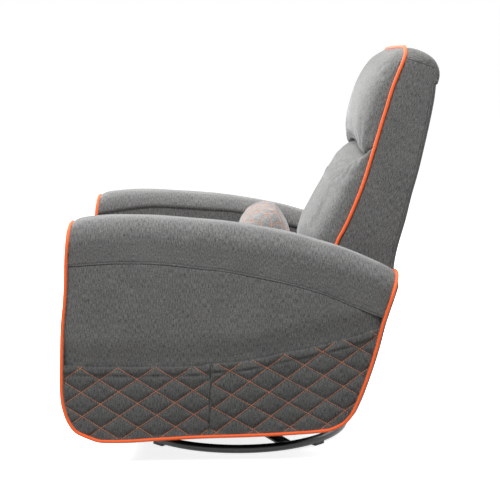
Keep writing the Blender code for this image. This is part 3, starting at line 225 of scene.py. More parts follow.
# Arm covers. Woven heather polyester over foam on the plywood frames, sewn from a rolled top, a
# front and a rear facing, an outer side and an inner side. Side view lines are (y, z).
inner_face, outer_face = 0.243, 0.387
arm_middle, arm_half = 0.315, 0.072
roll_radius = 0.060
roll_flat = 0.012
cloth_in, piping_tuck = 0.0012, 0.007
roll_outer_tuck, roll_inner_tuck = 0.0025, 0.0105
set_back, set_back_over = 0.013, 0.075
inner_panel_in, inner_front_in, inner_top_rise = 0.2555, 0.0085, 0.009
full_from_share = 0.048
settling_rounds = 25
line_steps = 14
crest_line = [
    (-0.4460, 0.6030), (-0.4425, 0.6076), (-0.4370, 0.6115), (-0.4290, 0.6148), (-0.4140, 0.6178),
    (-0.3815, 0.6210), (-0.3345, 0.6238), (-0.2715, 0.6232), (-0.2085, 0.6200), (-0.1455, 0.6152),
    (-0.0825, 0.6090), (-0.0005, 0.5980), (0.0535, 0.5880), (0.1075, 0.5762), (0.1615, 0.5610),
    (0.2155, 0.5450), (0.2695, 0.5240), (0.3245, 0.5010), (0.3485, 0.4890), (0.3595, 0.4800)]
front_edge = [
    (-0.3725, 0.0646), (-0.3898, 0.0685), (-0.4268, 0.0840), (-0.4425, 0.0960), (-0.4560, 0.1180),
    (-0.4645, 0.1430), (-0.4695, 0.1680), (-0.4708, 0.1980), (-0.4702, 0.2310), (-0.4672, 0.3170),
    (-0.4640, 0.3660), (-0.4585, 0.4150), (-0.4553, 0.4600), (-0.4531, 0.5130), (-0.4512, 0.5380),
    (-0.4492, 0.5625), (-0.4477, 0.5860), (-0.4460, 0.6030)]
rear_edge = [
    (0.2015, 0.0955), (0.2250, 0.1080), (0.2420, 0.1250), (0.2545, 0.1470), (0.2765, 0.2020),
    (0.3022, 0.2840), (0.3203, 0.3570), (0.3441, 0.4320), (0.3595, 0.4800)]
bottom_line = [
    (-0.3725, 0.0646), (-0.3185, 0.0645), (-0.2235, 0.0703), (-0.1285, 0.0753), (-0.0145, 0.0786),
    (0.0805, 0.0828), (0.1755, 0.0898), (0.2015, 0.0955)]
roll_seam = [
    (-0.5261, 0.4986), (-0.4435, 0.5030), (-0.3915, 0.5070), (-0.3295, 0.5100), (-0.2515, 0.5090),
    (-0.1905, 0.5050), (-0.1285, 0.4970), (-0.0655, 0.4900), (0.0225, 0.4730), (0.0975, 0.4560),
    (0.1725, 0.4340), (0.2465, 0.4030), (0.3155, 0.3760), (0.4263, 0.3310)]
inner_seam = [
    (-0.5261, 0.5444), (-0.4115, 0.5600), (-0.3765, 0.5670), (-0.2975, 0.5770), (-0.2335, 0.5760),
    (-0.1455, 0.5701), (-0.0285, 0.5600), (0.0665, 0.5350), (0.1665, 0.5050), (0.2665, 0.4650),
    (0.4263, 0.4060)]
pocket_edge = [
    (-0.5261, 0.2575), (-0.4625, 0.2570), (-0.3785, 0.2530), (-0.2845, 0.2525), (-0.1905, 0.2535),
    (-0.1285, 0.2545), (-0.1045, 0.2600), (-0.0335, 0.2650), (0.0195, 0.2740), (0.0605, 0.2840),
    (0.1355, 0.2985), (0.2105, 0.3175), (0.2475, 0.3270), (0.3155, 0.3500), (0.4263, 0.3843)]


def smoothed(points, steps=line_steps):
    """A smooth line through measured points, as a dense array."""
    known = np.array([points[0], *points, points[-1]], float)
    known[0] = 2 * known[1] - known[2]
    known[-1] = 2 * known[-2] - known[-3]
    part = np.linspace(0, 1, steps, endpoint=False)[:, None]
    runs = []
    for a, b, c, d in zip(known, known[1:], known[2:], known[3:]):
        runs.append(0.5 * (2 * b + (c - a) * part + (2 * a - 5 * b + 4 * c - d) * part ** 2
                           + (3 * b - a - 3 * c + d) * part ** 3))
    return np.vstack([*runs, known[-2][None]])


def height_at(line, y):
    """The height of a line of the side view at some y."""
    dense = smoothed(line)
    order = np.argsort(dense[:, 0])
    return np.interp(y, dense[order, 0], dense[order, 1])


def reach_at(line, z):
    """The y of an edge of the side view at some height."""
    dense = smoothed(line)
    order = np.argsort(dense[:, 1])
    return np.interp(z, dense[order, 1], dense[order, 0])


def eased(share, ends=0.8):
    """Shares drawn towards their two ends, where a seam needs its rows close together."""
    return share - ends * np.sin(2 * np.pi * share) / (2 * np.pi)


def smooth_step(value):
    """A value from 0 to 1, eased at both ends."""
    value = np.clip(value, 0, 1)
    return value * value * (3 - 2 * value)


def tucked(distance, radius):
    """How far a cloth has turned in at some distance from its seam."""
    inside = np.clip(radius - distance, 0, radius)
    return radius - np.sqrt(np.maximum(radius ** 2 - inside ** 2, 0))


def fading(distance, height, over):
    """A height at a seam or an edge, that fades with the distance from it."""
    return height * np.exp(-distance / over)


def swelling(distance, middle, half):
    """1 at a middle distance, falling off on both its sides."""
    return np.exp(-((distance - middle) / half) ** 2)


def points_of(mesh):
    """The points of a mesh, as an array."""
    co = np.empty(len(mesh.vertices) * 3)
    mesh.vertices.foreach_get("co", co)
    return co.reshape(-1, 3)


def move_points(mesh, points):
    """Put the points of a mesh where an array has them."""
    mesh.vertices.foreach_set("co", points.astype(np.float32).ravel())
    mesh.update()


def corners_of(mesh):
    """Which point each corner of each face is at."""
    corners = np.empty(len(mesh.loops), int)
    mesh.loops.foreach_get("vertex_index", corners)
    return corners


def cut_open(made, middle, half, radius):
    """An opening with round corners in a side sheet, for a fitting that is let into it."""
    work = bmesh.new()
    work.from_mesh(made.data)
    rim = {vertex for vertex in work.verts if vertex.is_boundary}

    def from_core(place):
        """How far a point is from the opening less its round edge, along y and along z."""
        off = [place[axis + 1] - middle[axis] for axis in (0, 1)]
        core = [max(min(off[axis], half[axis] - radius), radius - half[axis]) for axis in (0, 1)]
        return core, [off[axis] - core[axis] for axis in (0, 1)]

    bmesh.ops.delete(work, context="FACES", geom=[
        face for face in work.faces
        if math.hypot(*from_core(face.calc_center_median())[1]) < radius])
    for vertex in work.verts:
        if vertex.is_boundary and vertex not in rim:
            core, past = from_core(vertex.co)
            for axis in (0, 1):
                vertex.co[axis + 1] = (middle[axis] + core[axis]
                                       + past[axis] * radius / math.hypot(*past))
    work.to_mesh(made.data)
    work.free()


def laid_cloth(name, columns, rows, shape, thickness, facing, edge_share=0.2, opening=None):
    """A grid of cloth moved onto shape(u, v), turned to face outwards and given its thickness.

    shape returns the points, and the run of the cloth in metres for its UV map. Towards its edges
    the cloth thins out to edge_share of its thickness.
    """
    deselect()
    bpy.ops.mesh.primitive_grid_add(x_subdivisions=columns, y_subdivisions=rows, size=2)
    made = bpy.context.object
    made.name = name
    shares = (points_of(made.data)[:, :2] + 1) / 2
    points, run = shape(shares[:, 0], shares[:, 1])
    made.data.uv_layers[0].data.foreach_set(
        "uv", run[corners_of(made.data)].astype(np.float32).ravel())
    move_points(made.data, points)
    turned = sum((face.normal * face.area for face in made.data.polygons), Vector())
    if turned.dot(Vector(facing)) < 0:
        made.data.flip_normals()
    fullness = made.vertex_groups.new(name="fullness")
    edges = np.minimum.reduce([shares[:, 0], 1 - shares[:, 0], shares[:, 1], 1 - shares[:, 1]])
    for at, share in enumerate(edges):
        fullness.add([at], float(min(1, share / full_from_share)), "REPLACE")
    if opening is not None:
        cut_open(made, *opening)
    body = made.modifiers.new("body", "SOLIDIFY")
    body.thickness = thickness
    body.offset = -1
    body.vertex_group = "fullness"
    body.thickness_vertex_group = edge_share
    bpy.ops.object.modifier_apply(modifier="body")
    made.vertex_groups.clear()
    return made


def between(lower, upper, front, rear, u, v, starts=(-0.4, 0.25), rounds=settling_rounds,
            pull=0.5):
    """Points of the side view between two lines and two edges: y, z and how far off each edge.

    The ends of a row are found by a number of rounds, each of which moves them by a share, pull.
    """
    across, up = eased(u), eased(v)
    rows, back = np.unique(up, return_inverse=True)
    ends = []
    for edge, start in zip((front, rear), starts):
        y = np.full_like(rows, start)
        for _ in range(rounds):
            z = height_at(lower, y) * (1 - rows) + height_at(upper, y) * rows
            y = (1 - pull) * y + pull * reach_at(edge, z)
        ends.append(y[back])
    y = ends[0] + across * (ends[1] - ends[0])
    z = height_at(lower, y) * (1 - up) + height_at(upper, y) * up
    return y, z, y - ends[0], ends[1] - y


def side_panel(lower, upper, front, rear, depth):
    """A shape on an arm's outer side, between two lines and two edges."""
    def shape(u, v):
        y, z, from_front, from_rear = between(lower, upper, front, rear, u, v)
        x = outer_face - depth(y, z, from_front, from_rear)
        return np.stack([x, y, z], 1), np.stack([y, z], 1)
    return shape


def crumple(y, z, size, height):
    """The slow unevenness of stuffed cloth."""
    return height * (np.sin(y / size + 1.7 * np.sin(z / size * 0.6)) *
                     np.cos(z / size * 0.8 + 1.3 * np.sin(y / size * 0.5)))


def outer_depth(y, z, from_front, from_rear):
    """The outer side: full in its middle, in at the piping, the seam and behind the pockets."""
    seam = height_at(roll_seam, y) - z
    pocket = z - height_at(pocket_edge, y)
    piping = tucked(np.minimum(from_front, from_rear), piping_tuck)
    pillow = fading(np.minimum(from_front, from_rear), height=0.0035, over=0.030)
    behind = set_back * (1 - smooth_step(pocket / set_back_over))
    return (cloth_in + piping + pillow + behind + tucked(seam, radius=0.0022)
            + fading(seam, height=0.0016, over=0.012) + crumple(y, z, size=0.045, height=0.0006))


def heather(name, dark, light, sheen=0.35):
    """Heather polyester: melange yarns in two greys, woven plain, with a soft brushed face.

    The eye sees short upright streaks. Real yarns are 0.5 mm wide. They are drawn 0.9 mm wide, in
    streaks of 2.1 mm, which is as coarse as they need to be to show.
    """
    finish, tree, place = new_finish(name, {
        "Roughness": 0.92, "Sheen Weight": sheen, "Sheen Roughness": 0.45,
        "Specular IOR Level": 0.15})
    cloth = add_node(tree, "TexCoord").outputs["UV"]
    layers = []
    for width, length, detail, roughness in ((0.0021, 0.0125, 3.0, 0.6),
                                             (0.0009, 0.0035, 2.0, 0.5)):
        drawn = add_node(tree, "Mapping", {"Vector": cloth, "Scale": (1 / width, 1 / length, 1)})
        layers.append(add_node(tree, "TexNoise", {"Vector": drawn, "Scale": 1.0, "Detail": detail,
                                                  "Roughness": roughness}))
    both = add_node(tree, "Math", {0: layers[0], 1: layers[1]}, operation="ADD")
    spread = add_node(tree, "MapRange", {"Value": both, "From Min": 0.74, "From Max": 1.26})
    cloud = add_node(tree, "TexNoise", {"Vector": place, "Scale": 1 / 0.07, "Detail": 3.0})
    worn = add_node(tree, "MapRange", {"Value": cloud, "From Min": 0.3, "From Max": 0.7,
                                       "To Min": 0.93, "To Max": 1.07})
    shaded = add_node(tree, "VectorMath", {0: tone_between(tree, spread, dark, light),
                                           "Scale": worn}, operation="SCALE")
    lead_in(tree, shaded.outputs["Vector"], both, 0.5, 0.0004)
    return finish


def both_sides(made, name, finish, replaces=(), body="chassis", right=None):
    """Finish a left piece and a right one: a mirrored copy, with its own mesh, of it or of right.

    Each replaces its own side's node, or the one that both sides share.
    """
    copy = (made if right is None else right).copy()
    copy.data = copy.data.copy()
    bpy.context.scene.collection.objects.link(copy)
    copy.data.transform(Matrix.Diagonal((-1, 1, 1, 1)))
    copy.data.flip_normals()
    for each, side in ((made, "left_"), (copy, "right_")):
        finished(each, side + name, finish, body, [
            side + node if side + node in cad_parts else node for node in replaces])
    return made, copy


heather_sewn = heather("heather_polyester_sewn", "#3a3a39", "#868685")
outer_shape = side_panel(bottom_line, roll_seam, front_edge, rear_edge, outer_depth)
cup_opening = ((-0.2335, 0.3700), (0.0545, 0.0345), 0.0115)
outer = laid_cloth("outer", 190, 110, outer_shape, thickness=0.005, facing=(1, 0, 0))
outer_open = laid_cloth("outer_open", 190, 110, outer_shape, thickness=0.005, facing=(1, 0, 0),
                        opening=cup_opening)
both_sides(outer, "arm_outer_cover", heather_sewn, ["arm_outer_panel"],
           right=outer_open)
bpy.data.objects.remove(outer_open)


def arm_girth(v):
    """Round the arm from its outer seam over the roll to its inner seam: flat, angle and share.

    The share is 0 on the roll, and grows to 1 at the outer seam, on the upright side.
    """
    parts = np.array([0, 0.28, 0.46, 0.56, 1.0])
    below = np.interp(v, parts, [1, 0, 0, 0, 0])
    angle = np.interp(v, parts, [math.pi / 2, math.pi / 2, 0, 0, -math.pi / 2])
    flat = np.interp(v, parts, [1, 1, 1, -1, -1]) * (arm_half - roll_radius)
    return flat, angle, below


def top_shape(u, v):
    """The rolled top, from the outer seam over the crest and in under to the inner seam."""
    along, girth = eased(u, ends=0.85), eased(v, ends=0.75)
    flat, angle, below = arm_girth(girth)
    outside = girth < 0.5

    def turned(y):
        """How far round the roll a point is: on the inner side it stops at the seam."""
        height = (height_at(crest_line, y) - height_at(inner_seam, y)) / roll_radius
        return np.where(outside, angle,
                        angle * np.arccos(1 - np.clip(height, 0.1, 1)) / (math.pi / 2))

    def level(y):
        """The height of a point on the roll, or on the upright side under it."""
        rolled = height_at(crest_line, y) - roll_radius * (1 - np.cos(turned(y)))
        return rolled + (height_at(roll_seam, y) - rolled) * below

    start, end = np.full_like(u, -0.44), np.full_like(u, 0.33)
    for _ in range(settling_rounds):
        start = 0.5 * start + 0.5 * reach_at(front_edge, level(start))
        end = 0.5 * end + 0.5 * reach_at(rear_edge, level(end))
    y = start + along * (end - start)
    z = level(y)
    ends = np.minimum(y - start, end - y)
    seam_gap = np.abs(z - np.where(outside, height_at(roll_seam, y), height_at(inner_seam, y)))
    seam_gap = np.where(outside & (below == 0), 1, seam_gap)
    turn = turned(y)
    x = arm_middle + flat + roll_radius * np.sin(turn)
    drop = roll_radius * (1 - np.cos(turn))
    turn_in = tucked(ends, piping_tuck) + fading(ends, height=0.0030, over=0.030)
    turn_in = turn_in + tucked(seam_gap, np.where(outside, roll_outer_tuck, roll_inner_tuck))
    ridge = swelling(seam_gap, middle=0.0055, half=0.0014)
    turn_in = turn_in + np.where(outside, cloth_in, 0) * ridge
    turn_in = turn_in + cloth_in - crumple(y, girth * 0.4, size=0.040, height=0.0007)
    away = np.stack([x - arm_middle - np.clip(x - arm_middle, -roll_flat, roll_flat),
                     np.where(below > 0, 0, roll_radius - drop)], 1)
    length = np.maximum(np.linalg.norm(away, axis=1), 1e-6)
    x = x - away[:, 0] / length * turn_in
    z = z - away[:, 1] / length * turn_in
    around = np.interp(girth, [0, 0.56, 1.0], [0, 0.235, 0.320])
    return np.stack([x, y, z], 1), np.stack([y, around], 1)


top = laid_cloth("top", 200, 84, top_shape, thickness=0.006, facing=(0, 0, 1))
both_sides(top, "arm_top_cover", heather_sewn, ["arm_top_pad"])


def facing_shape(edge, out, bulge, foot):
    """A tombstone facing on an end of the arm, from its foot to the top of its arch."""
    crest = edge[-1][1]
    top_z = crest - 0.0015

    def shape(u, v):
        across = 2 * eased(u) - 1
        up = np.where(v < 0.72, v / 0.72 * 0.885,
                      0.885 + 0.115 * np.sin((v - 0.72) / 0.28 * np.pi / 2))
        z = foot + (top_z - foot) * up
        drop = np.clip(crest - z, 0, roll_radius)
        half = arm_half - roll_radius + np.sqrt(
            np.maximum(roll_radius ** 2 - (roll_radius - drop) ** 2, 0))
        x = arm_middle + across * half
        side = half * (1 - np.abs(across))
        y = reach_at(edge, z) + out * (bulge * (1 - across ** 8) * np.clip(drop / 0.03, 0.0, 1)
                                       - tucked(np.minimum(side, crest - z + 0.001),
                                                radius=0.006))
        return np.stack([x, y, z], 1), np.stack([x, z], 1)
    return shape


front = laid_cloth("front", 46, 150, facing_shape(
    front_edge, out=-1, bulge=0.0030, foot=0.0655), thickness=0.005, facing=(0, -1, 0))
both_sides(front, "arm_front_cover", heather_sewn, ["arm_front_pad"])
rear = laid_cloth("rear", 46, 120, facing_shape(
    rear_edge, out=1, bulge=0.0120, foot=0.0960), thickness=0.005, facing=(0, 1, 0))
both_sides(rear, "arm_rear_cover", heather_sewn, ["arm_rear_pad"])


def inner_depth(y, z, from_front, from_rear):
    """The inner side, a flat panel that starts under the roll, where the roll turns in."""
    return outer_face - inner_panel_in + crumple(y, z, size=0.05, height=0.0005)


inner_front = [(y + inner_front_in, z) for y, z in front_edge]
inner_rear = [(0.1900, 0.0660), (0.2600, 0.3000), (0.3100, 0.4600), (0.3200, 0.5800)]
inner_top = [(y, z + inner_top_rise) for y, z in inner_seam]
inner = laid_cloth("inner", 110, 70, side_panel(bottom_line, inner_top, inner_front, inner_rear,
                                                inner_depth), thickness=0.004, facing=(-1, 0, 0))
both_sides(inner, "arm_inner_cover", heather_sewn, ["arm_inner_panel"])

# Side pockets. Quilted pouches of the same cloth over wadding, sewn in diamonds with an orange
# thread, hemmed at the top and let into the piping round the foot of each arm.
pocket_seam = [(-0.1070, 0.0600), (-0.1040, 0.1600), (-0.1010, 0.2700)]
diamond = (0.0925, 0.0615)
quilt_rise = 0.0066
seam_reach = 0.0072
hem_depth, hem_roll, hem_row_pull = 0.0235, 0.0022, 0.0032
quilt_flat_below = 0.013
front_quilt = ((-0.2845, 0.2210), 0.9)
rear_quilt = ((-0.0065, 0.2150), 4.25)


def quilt_place(y, z, quilt):
    """Where a point lies in the lattice of seams: whole numbers are seams."""
    (middle_y, middle_z), turn_deg = quilt
    turn = math.radians(turn_deg)
    along = (y - middle_y) * math.cos(turn) + (z - middle_z) * math.sin(turn)
    up = (z - middle_z) * math.cos(turn) - (y - middle_y) * math.sin(turn)
    return along / diamond[0] + up / diamond[1], along / diamond[0] - up / diamond[1]


def raised(share):
    """How far the cloth has risen from the nearest seam of one set, from 0 to 1."""
    off = np.abs(share - np.round(share)) / math.hypot(1 / diamond[0], 1 / diamond[1])
    return 1 - np.exp(-(off / seam_reach) ** 1.25)


def quilt_depth(quilt):
    """Stuffed diamonds, with a hem across the top."""
    def depth(y, z, from_front, from_rear):
        first, second = quilt_place(y, z, quilt)
        puff = raised(first) * raised(second)
        hem = height_at(pocket_edge, y) - z
        stitch = swelling(hem, middle=hem_depth, half=0.0045)
        edge = (tucked(hem, radius=0.006)
                + tucked(np.minimum(from_front, from_rear), radius=0.005))
        roll = hem_roll * swelling(hem, middle=0.013, half=0.010)
        low = tucked(z - height_at(bottom_line, y), radius=0.0045)
        flat = smooth_step((z - height_at(bottom_line, y)) / quilt_flat_below)
        return (quilt_rise * (1 - puff) * flat - roll + hem_row_pull * stitch * puff + edge + low
                + crumple(y, z, size=0.018, height=0.0005))
    return depth


# The quilt is the same cloth as the sewn covers. Its darker greys are painted shade, for the lower
# part of the arm, which gets less light.
quilt_heather_painted_shade = heather("heather_polyester_quilted_painted_shade", "#303030", "#717170", sheen=0.2)
for name, columns, rows, front, rear, quilt in (
        ("front_pocket", 210, 112, front_edge, pocket_seam, front_quilt),
        ("rear_pocket", 226, 130, pocket_seam, rear_edge, rear_quilt)):
    pocket_shape = side_panel(bottom_line, pocket_edge, front, rear, quilt_depth(quilt))
    pocket = laid_cloth(name, columns, rows, pocket_shape, thickness=0.006, facing=(1, 0, 0))
    both_sides(pocket, name + "_quilt", quilt_heather_painted_shade, [name])

# Quilting thread. Twisted orange polyester, 1.2 mm thick, in 4.8 mm stitches 0.9 mm apart along
# every seam.
thread_radius = 0.00060
thread_lift = 0.0005
thread_stitch, thread_gap = 0.0048, 0.0009
thread_sides = 6
thread_look_ahead = 0.0004
shortest_run = 12
seams_end_in, seams_end_under = 0.004, 0.0015
lattice_reach = 9


def polyester_thread(name, dark, light):
    """Twisted sewing thread: the twist shows as a fine change of tone along it."""
    return patterned(name, {"Roughness": 0.5, "Sheen Weight": 0.2}, dark, light, "TexNoise",
                     {"Scale": 1 / 0.0008, "Detail": 1.0})


def mended(made, merge=None):
    """Merge a mesh's doubles within some distance, and turn its faces outwards."""
    alone(made)
    bpy.ops.object.mode_set(mode="EDIT")
    bpy.ops.mesh.select_all(action="SELECT")
    if merge is not None:
        bpy.ops.mesh.remove_doubles(threshold=merge)
    bpy.ops.mesh.normals_make_consistent(inside=False)
    bpy.ops.object.mode_set(mode="OBJECT")
    return made


def sewn(name, runs, stitch, gap, radius):
    """Stitches along runs of points, each with the direction that faces out of the cloth."""
    turns = np.arange(thread_sides) * 2 * np.pi / thread_sides
    stations = np.array([0, 0.2, 0.5, 0.8, 1])
    lifts = np.array([-0.8, 0.3, 0.6, 0.3, -0.8]) * radius
    sizes = np.array([0.5, 0.9, 1.0, 0.9, 0.5]) * radius
    stitches = []
    for points, outward in runs:
        steps = np.linalg.norm(np.diff(points, axis=0), axis=1)
        far = np.concatenate([[0], np.cumsum(steps)])
        for first in np.arange(0, far[-1] - stitch, stitch + gap):
            at = first + stations * stitch
            core, ahead, out = (
                np.stack([np.interp(where, far, values[:, axis]) for axis in range(3)], 1)
                for where, values in ((at, points), (at + thread_look_ahead, points),
                                      (at, outward)))
            along = ahead - core
            along[-1] = along[-2]
            along /= np.linalg.norm(along, axis=1)[:, None]
            side = np.cross(along, out)
            core = core + out * lifts[:, None]
            rings = (core[:, None] + sizes[:, None, None]
                     * (np.cos(turns)[None, :, None] * out[:, None]
                        + np.sin(turns)[None, :, None] * side[:, None]))
            stitches.append(rings.reshape(-1, 3))
    last = (len(stations) - 1) * thread_sides
    faces = [tuple(range(thread_sides - 1, -1, -1)), tuple(range(last, last + thread_sides))]
    for ring in range(0, last, thread_sides):
        for at in range(thread_sides):
            after = (at + 1) % thread_sides
            faces.append((ring + at, ring + after, ring + thread_sides + after,
                          ring + thread_sides + at))
    mesh = bpy.data.meshes.new(name)
    mesh.from_pydata(np.concatenate(stitches).tolist(), [], [
        tuple(corner + (last + thread_sides) * number for corner in face)
        for number in range(len(stitches)) for face in faces])
    made = bpy.data.objects.new(name, mesh)
    bpy.context.scene.collection.objects.link(made)
    return mended(made)


def kept_runs(points, keep, outward):
    """The stretches of a line that are kept, each with its outward directions."""
    change = np.diff(np.concatenate([[False], keep, [False]]).astype(int))
    starts, ends = np.flatnonzero(change == 1), np.flatnonzero(change == -1)
    return [(points[a:b], outward[a:b]) for a, b in zip(starts, ends) if b - a > shortest_run]


def quilt_runs(quilt, front, rear):
    """The seams of a pocket, on its cloth."""
    (middle_y, middle_z), turn_deg = quilt
    turn = math.radians(turn_deg)
    depth = quilt_depth(quilt)
    runs = []
    for falling in (False, True):
        for number in range(1 - lattice_reach, lattice_reach):
            other = np.linspace(-lattice_reach, lattice_reach, 1400)
            same = np.full_like(other, number)
            first, second = (other, same) if falling else (same, other)
            along, up = (first + second) / 2 * diamond[0], (first - second) / 2 * diamond[1]
            y = middle_y + along * math.cos(turn) - up * math.sin(turn)
            z = middle_z + along * math.sin(turn) + up * math.cos(turn)
            start, end = reach_at(front, z), reach_at(rear, z)
            keep = ((z > height_at(bottom_line, y) + seams_end_in)
                    & (z < height_at(pocket_edge, y) - seams_end_under)
                    & (y > start + seams_end_in) & (y < end - seams_end_in))
            x = outer_face - depth(y, z, y - start, end - y) + thread_lift
            runs += kept_runs(np.stack([x, y, z], 1), keep, np.tile([1.0, 0, 0], (len(y), 1)))
    return runs


orange_thread = polyester_thread("orange_polyester_thread", "#d8713a", "#f39a5c")
quilt_seams = sewn("quilt_seams", quilt_runs(front_quilt, front_edge, pocket_seam)
                   + quilt_runs(rear_quilt, pocket_seam, rear_edge),
                   thread_stitch, thread_gap, thread_radius)
both_sides(quilt_seams, "pocket_quilting_thread", orange_thread)

# Grey topstitching. One row 5 mm above the seam under the roll, one on the hem of the pockets, in
# 4 mm stitches of a thread 1 mm thick.
seam_stitch, seam_gap, seam_thread = 0.0040, 0.0010, 0.0005
top_row, top_row_in, rows_end_in = 0.0050, 0.0022, 0.006


def row_over(line, rise, low_y, high_y, depth_at):
    """A row of stitches on the outer side, that runs beside a line of the side view."""
    y = np.linspace(low_y, high_y, 900)
    z = height_at(line, y) + rise
    points = np.stack([outer_face - depth_at(y, z, y * 0 + 1, y * 0 + 1), y, z], 1)
    keep = ((y > reach_at(front_edge, z) + rows_end_in)
            & (y < reach_at(rear_edge, z) - rows_end_in))
    return kept_runs(points, keep, np.tile([1.0, 0, 0], (len(y), 1)))


grey_thread = polyester_thread("grey_polyester_thread", "#2b2b2b", "#4a4a4a")
stitch_rows = row_over(roll_seam, top_row, -0.47, 0.36,
                       lambda y, z, ahead, behind: top_row_in + 0 * y)
stitch_rows += row_over(pocket_edge, -hem_depth, -0.47, -0.104, quilt_depth(front_quilt))
stitch_rows += row_over(pocket_edge, -hem_depth, -0.100, 0.36, quilt_depth(rear_quilt))
topstitch = sewn("topstitch", stitch_rows, seam_stitch, seam_gap, seam_thread)
both_sides(topstitch, "arm_topstitching", grey_thread)

# Arm piping. A 7 mm cord, 8.6 mm across in its bright orange woven cover, sewn between the facings
# and the sides: up the inner front, over the arch, down the outer front, under the side and up
# the rear.
piping_radius = 0.0043
inner_front_foot, inner_rear_foot = 0.130, 0.400


def cord_along(points, radius):
    """A round cord through points, as a closed mesh."""
    curve = bpy.data.curves.new("cord", "CURVE")
    curve.dimensions = "3D"
    curve.bevel_depth = radius
    curve.bevel_resolution = 3
    curve.use_fill_caps = True
    line = curve.splines.new("POLY")
    line.points.add(len(points) - 1)
    for point, place in zip(line.points, points):
        point.co = (*place, 1)
    made = bpy.data.objects.new("cord", curve)
    bpy.context.scene.collection.objects.link(made)
    alone(made)
    bpy.ops.object.convert(target="MESH")
    return mended(bpy.context.object, merge=0.00001)


def arch(edge, steps=24):
    """The piping over an arch, from the outer side to the inner."""
    places = []
    for angle in (math.pi / 2 - math.pi * step / steps for step in range(steps + 1)):
        flat = (arm_half - roll_radius) * (1 if angle > 0 else -1 if angle < 0 else 0)
        z = edge[-1][1] - roll_radius * (1 - math.cos(angle))
        places.append((arm_middle + flat + roll_radius * math.sin(angle),
                       float(reach_at(edge, z)), z))
    return places


def upright(edge, low, side_x, up=True):
    """The piping along an end edge, up to where its arch starts."""
    dense = smoothed(edge)
    keep = dense[(dense[:, 1] >= low) & (dense[:, 1] < edge[-1][1] - roll_radius)]
    run = [(side_x, y, z) for y, z in keep]
    return run if up else run[::-1]


# Orange polyester cord cover: a tight plain weave with a slight sheen.
orange = patterned(
    "orange_piping_cover", {"Roughness": 0.62, "Sheen Weight": 0.2, "Sheen Roughness": 0.4},
    "#ff5a14", "#ff7030", "TexNoise", {"Scale": 1 / 0.0011, "Detail": 2.0}, bump=(0.4, 0.0003))
cord_path = (upright(front_edge, inner_front_foot, inner_face) + arch(front_edge)[::-1]
             + upright(front_edge, 0, outer_face, up=False)
             + [(outer_face, y, z) for y, z in smoothed(bottom_line)[1:-1]]
             + upright(rear_edge, 0, outer_face) + arch(rear_edge)
             + upright(rear_edge, inner_rear_foot, inner_face, up=False))
both_sides(cord_along(cord_path, piping_radius), "arm_piping_cord", orange,
           ["arm_piping"])

# Seat cushion. A foam block in a sewn heather cover, crowned on top, drawn in at its sides. Its
# cover is left to swell over the foam by cloth simulation.
seat_low, seat_high, seat_crown = 0.3566, 0.4640, 0.012
seat_front, seat_rear, seat_half = -0.4330, 0.1380, 0.2470
seat_draw, seat_swell, seat_edge, seat_corner_share = 0.010, 0.004, 0.018, 0.012
seat_sewn_below = 0.012
settling_frames = 20


def cushion_block(name, cells, shape):
    """A cushion from a cube cut into cells and moved onto a shape of (across, along, up)."""
    deselect()
    bpy.ops.mesh.primitive_cube_add(size=2)
    made = bpy.context.object
    made.name = name
    work = bmesh.new()
    work.from_mesh(made.data)
    for axis, count in enumerate(cells):
        run = [edge for edge in work.edges
               if abs(edge.verts[0].co[axis] - edge.verts[1].co[axis]) > 1.9]
        bmesh.ops.subdivide_edges(work, edges=run, cuts=count, use_grid_fill=True)
    co = np.array([vertex.co for vertex in work.verts])
    for vertex, point in zip(work.verts, shape(co[:, 0], co[:, 1], co[:, 2])):
        vertex.co = point
    bmesh.ops.recalc_face_normals(work, faces=work.faces)
    work.to_mesh(made.data)
    work.free()
    return made


def filled(made, held, voxel, start_in, most):
    """Let a cover swell over its filling by cloth simulation, then add one subdivision.

    It starts smaller by start_in. Points where held is true are sewn or stapled and stay put, and
    no point ends more than most away from the modelled form.
    """
    alone(made)
    cells = made.modifiers.new("cells", "REMESH")
    cells.mode = "VOXEL"
    cells.voxel_size = voxel
    bpy.ops.object.modifier_apply(modifier="cells")
    modelled = points_of(made.data)
    normals = np.empty(modelled.size)
    made.data.vertices.foreach_get("normal", normals)
    keep = held(modelled)
    move_points(made.data, modelled - normals.reshape(-1, 3) * np.where(keep, 0, start_in)[:, None])
    sewn_down = made.vertex_groups.new(name="sewn_down")
    sewn_down.add(np.flatnonzero(keep).tolist(), 1.0, "REPLACE")
    cloth = made.modifiers.new("cover", "CLOTH").settings
    cloth.quality = 4
    cloth.mass = 0.35
    cloth.bending_stiffness = 0.6
    cloth.use_pressure = True
    cloth.uniform_pressure_force = 4.0
    cloth.effector_weights.gravity = 0
    cloth.vertex_group_mass = "sewn_down"
    for frame_number in range(1, settling_frames + 1):
        bpy.context.scene.frame_set(frame_number)
    bpy.ops.object.modifier_apply(modifier="cover")
    bpy.context.scene.frame_set(1)
    moved = points_of(made.data) - modelled
    far = np.linalg.norm(moved, axis=1)
    moved *= np.minimum(1, most / np.maximum(far, 1e-9))[:, None]
    move_points(made.data, modelled + moved)
    made.vertex_groups.clear()
    finer = made.modifiers.new("finer", "SUBSURF")
    finer.levels = finer.render_levels = 1
    bpy.ops.object.modifier_apply(modifier="finer")
    return made


def grained(made):
    """Lay the grain of the cloth over a cushion: front to back on top and upright on its sides."""
    mesh = made.data
    sizes, normals = np.empty(len(mesh.polygons), int), np.empty(len(mesh.polygons) * 3)
    mesh.polygons.foreach_get("loop_total", sizes)
    mesh.polygons.foreach_get("normal", normals)
    spots = points_of(mesh)[corners_of(mesh)]
    facing = np.repeat(np.abs(normals.reshape(-1, 3)).argmax(1), sizes)
    across = np.where(facing == 0, spots[:, 1], spots[:, 0])
    along = np.where(facing == 2, spots[:, 1], spots[:, 2])
    layer = mesh.uv_layers[0] if mesh.uv_layers else mesh.uv_layers.new(name="cloth")
    layer.data.foreach_set("uv", np.stack([across, along], 1).astype(np.float32).ravel())
    return made


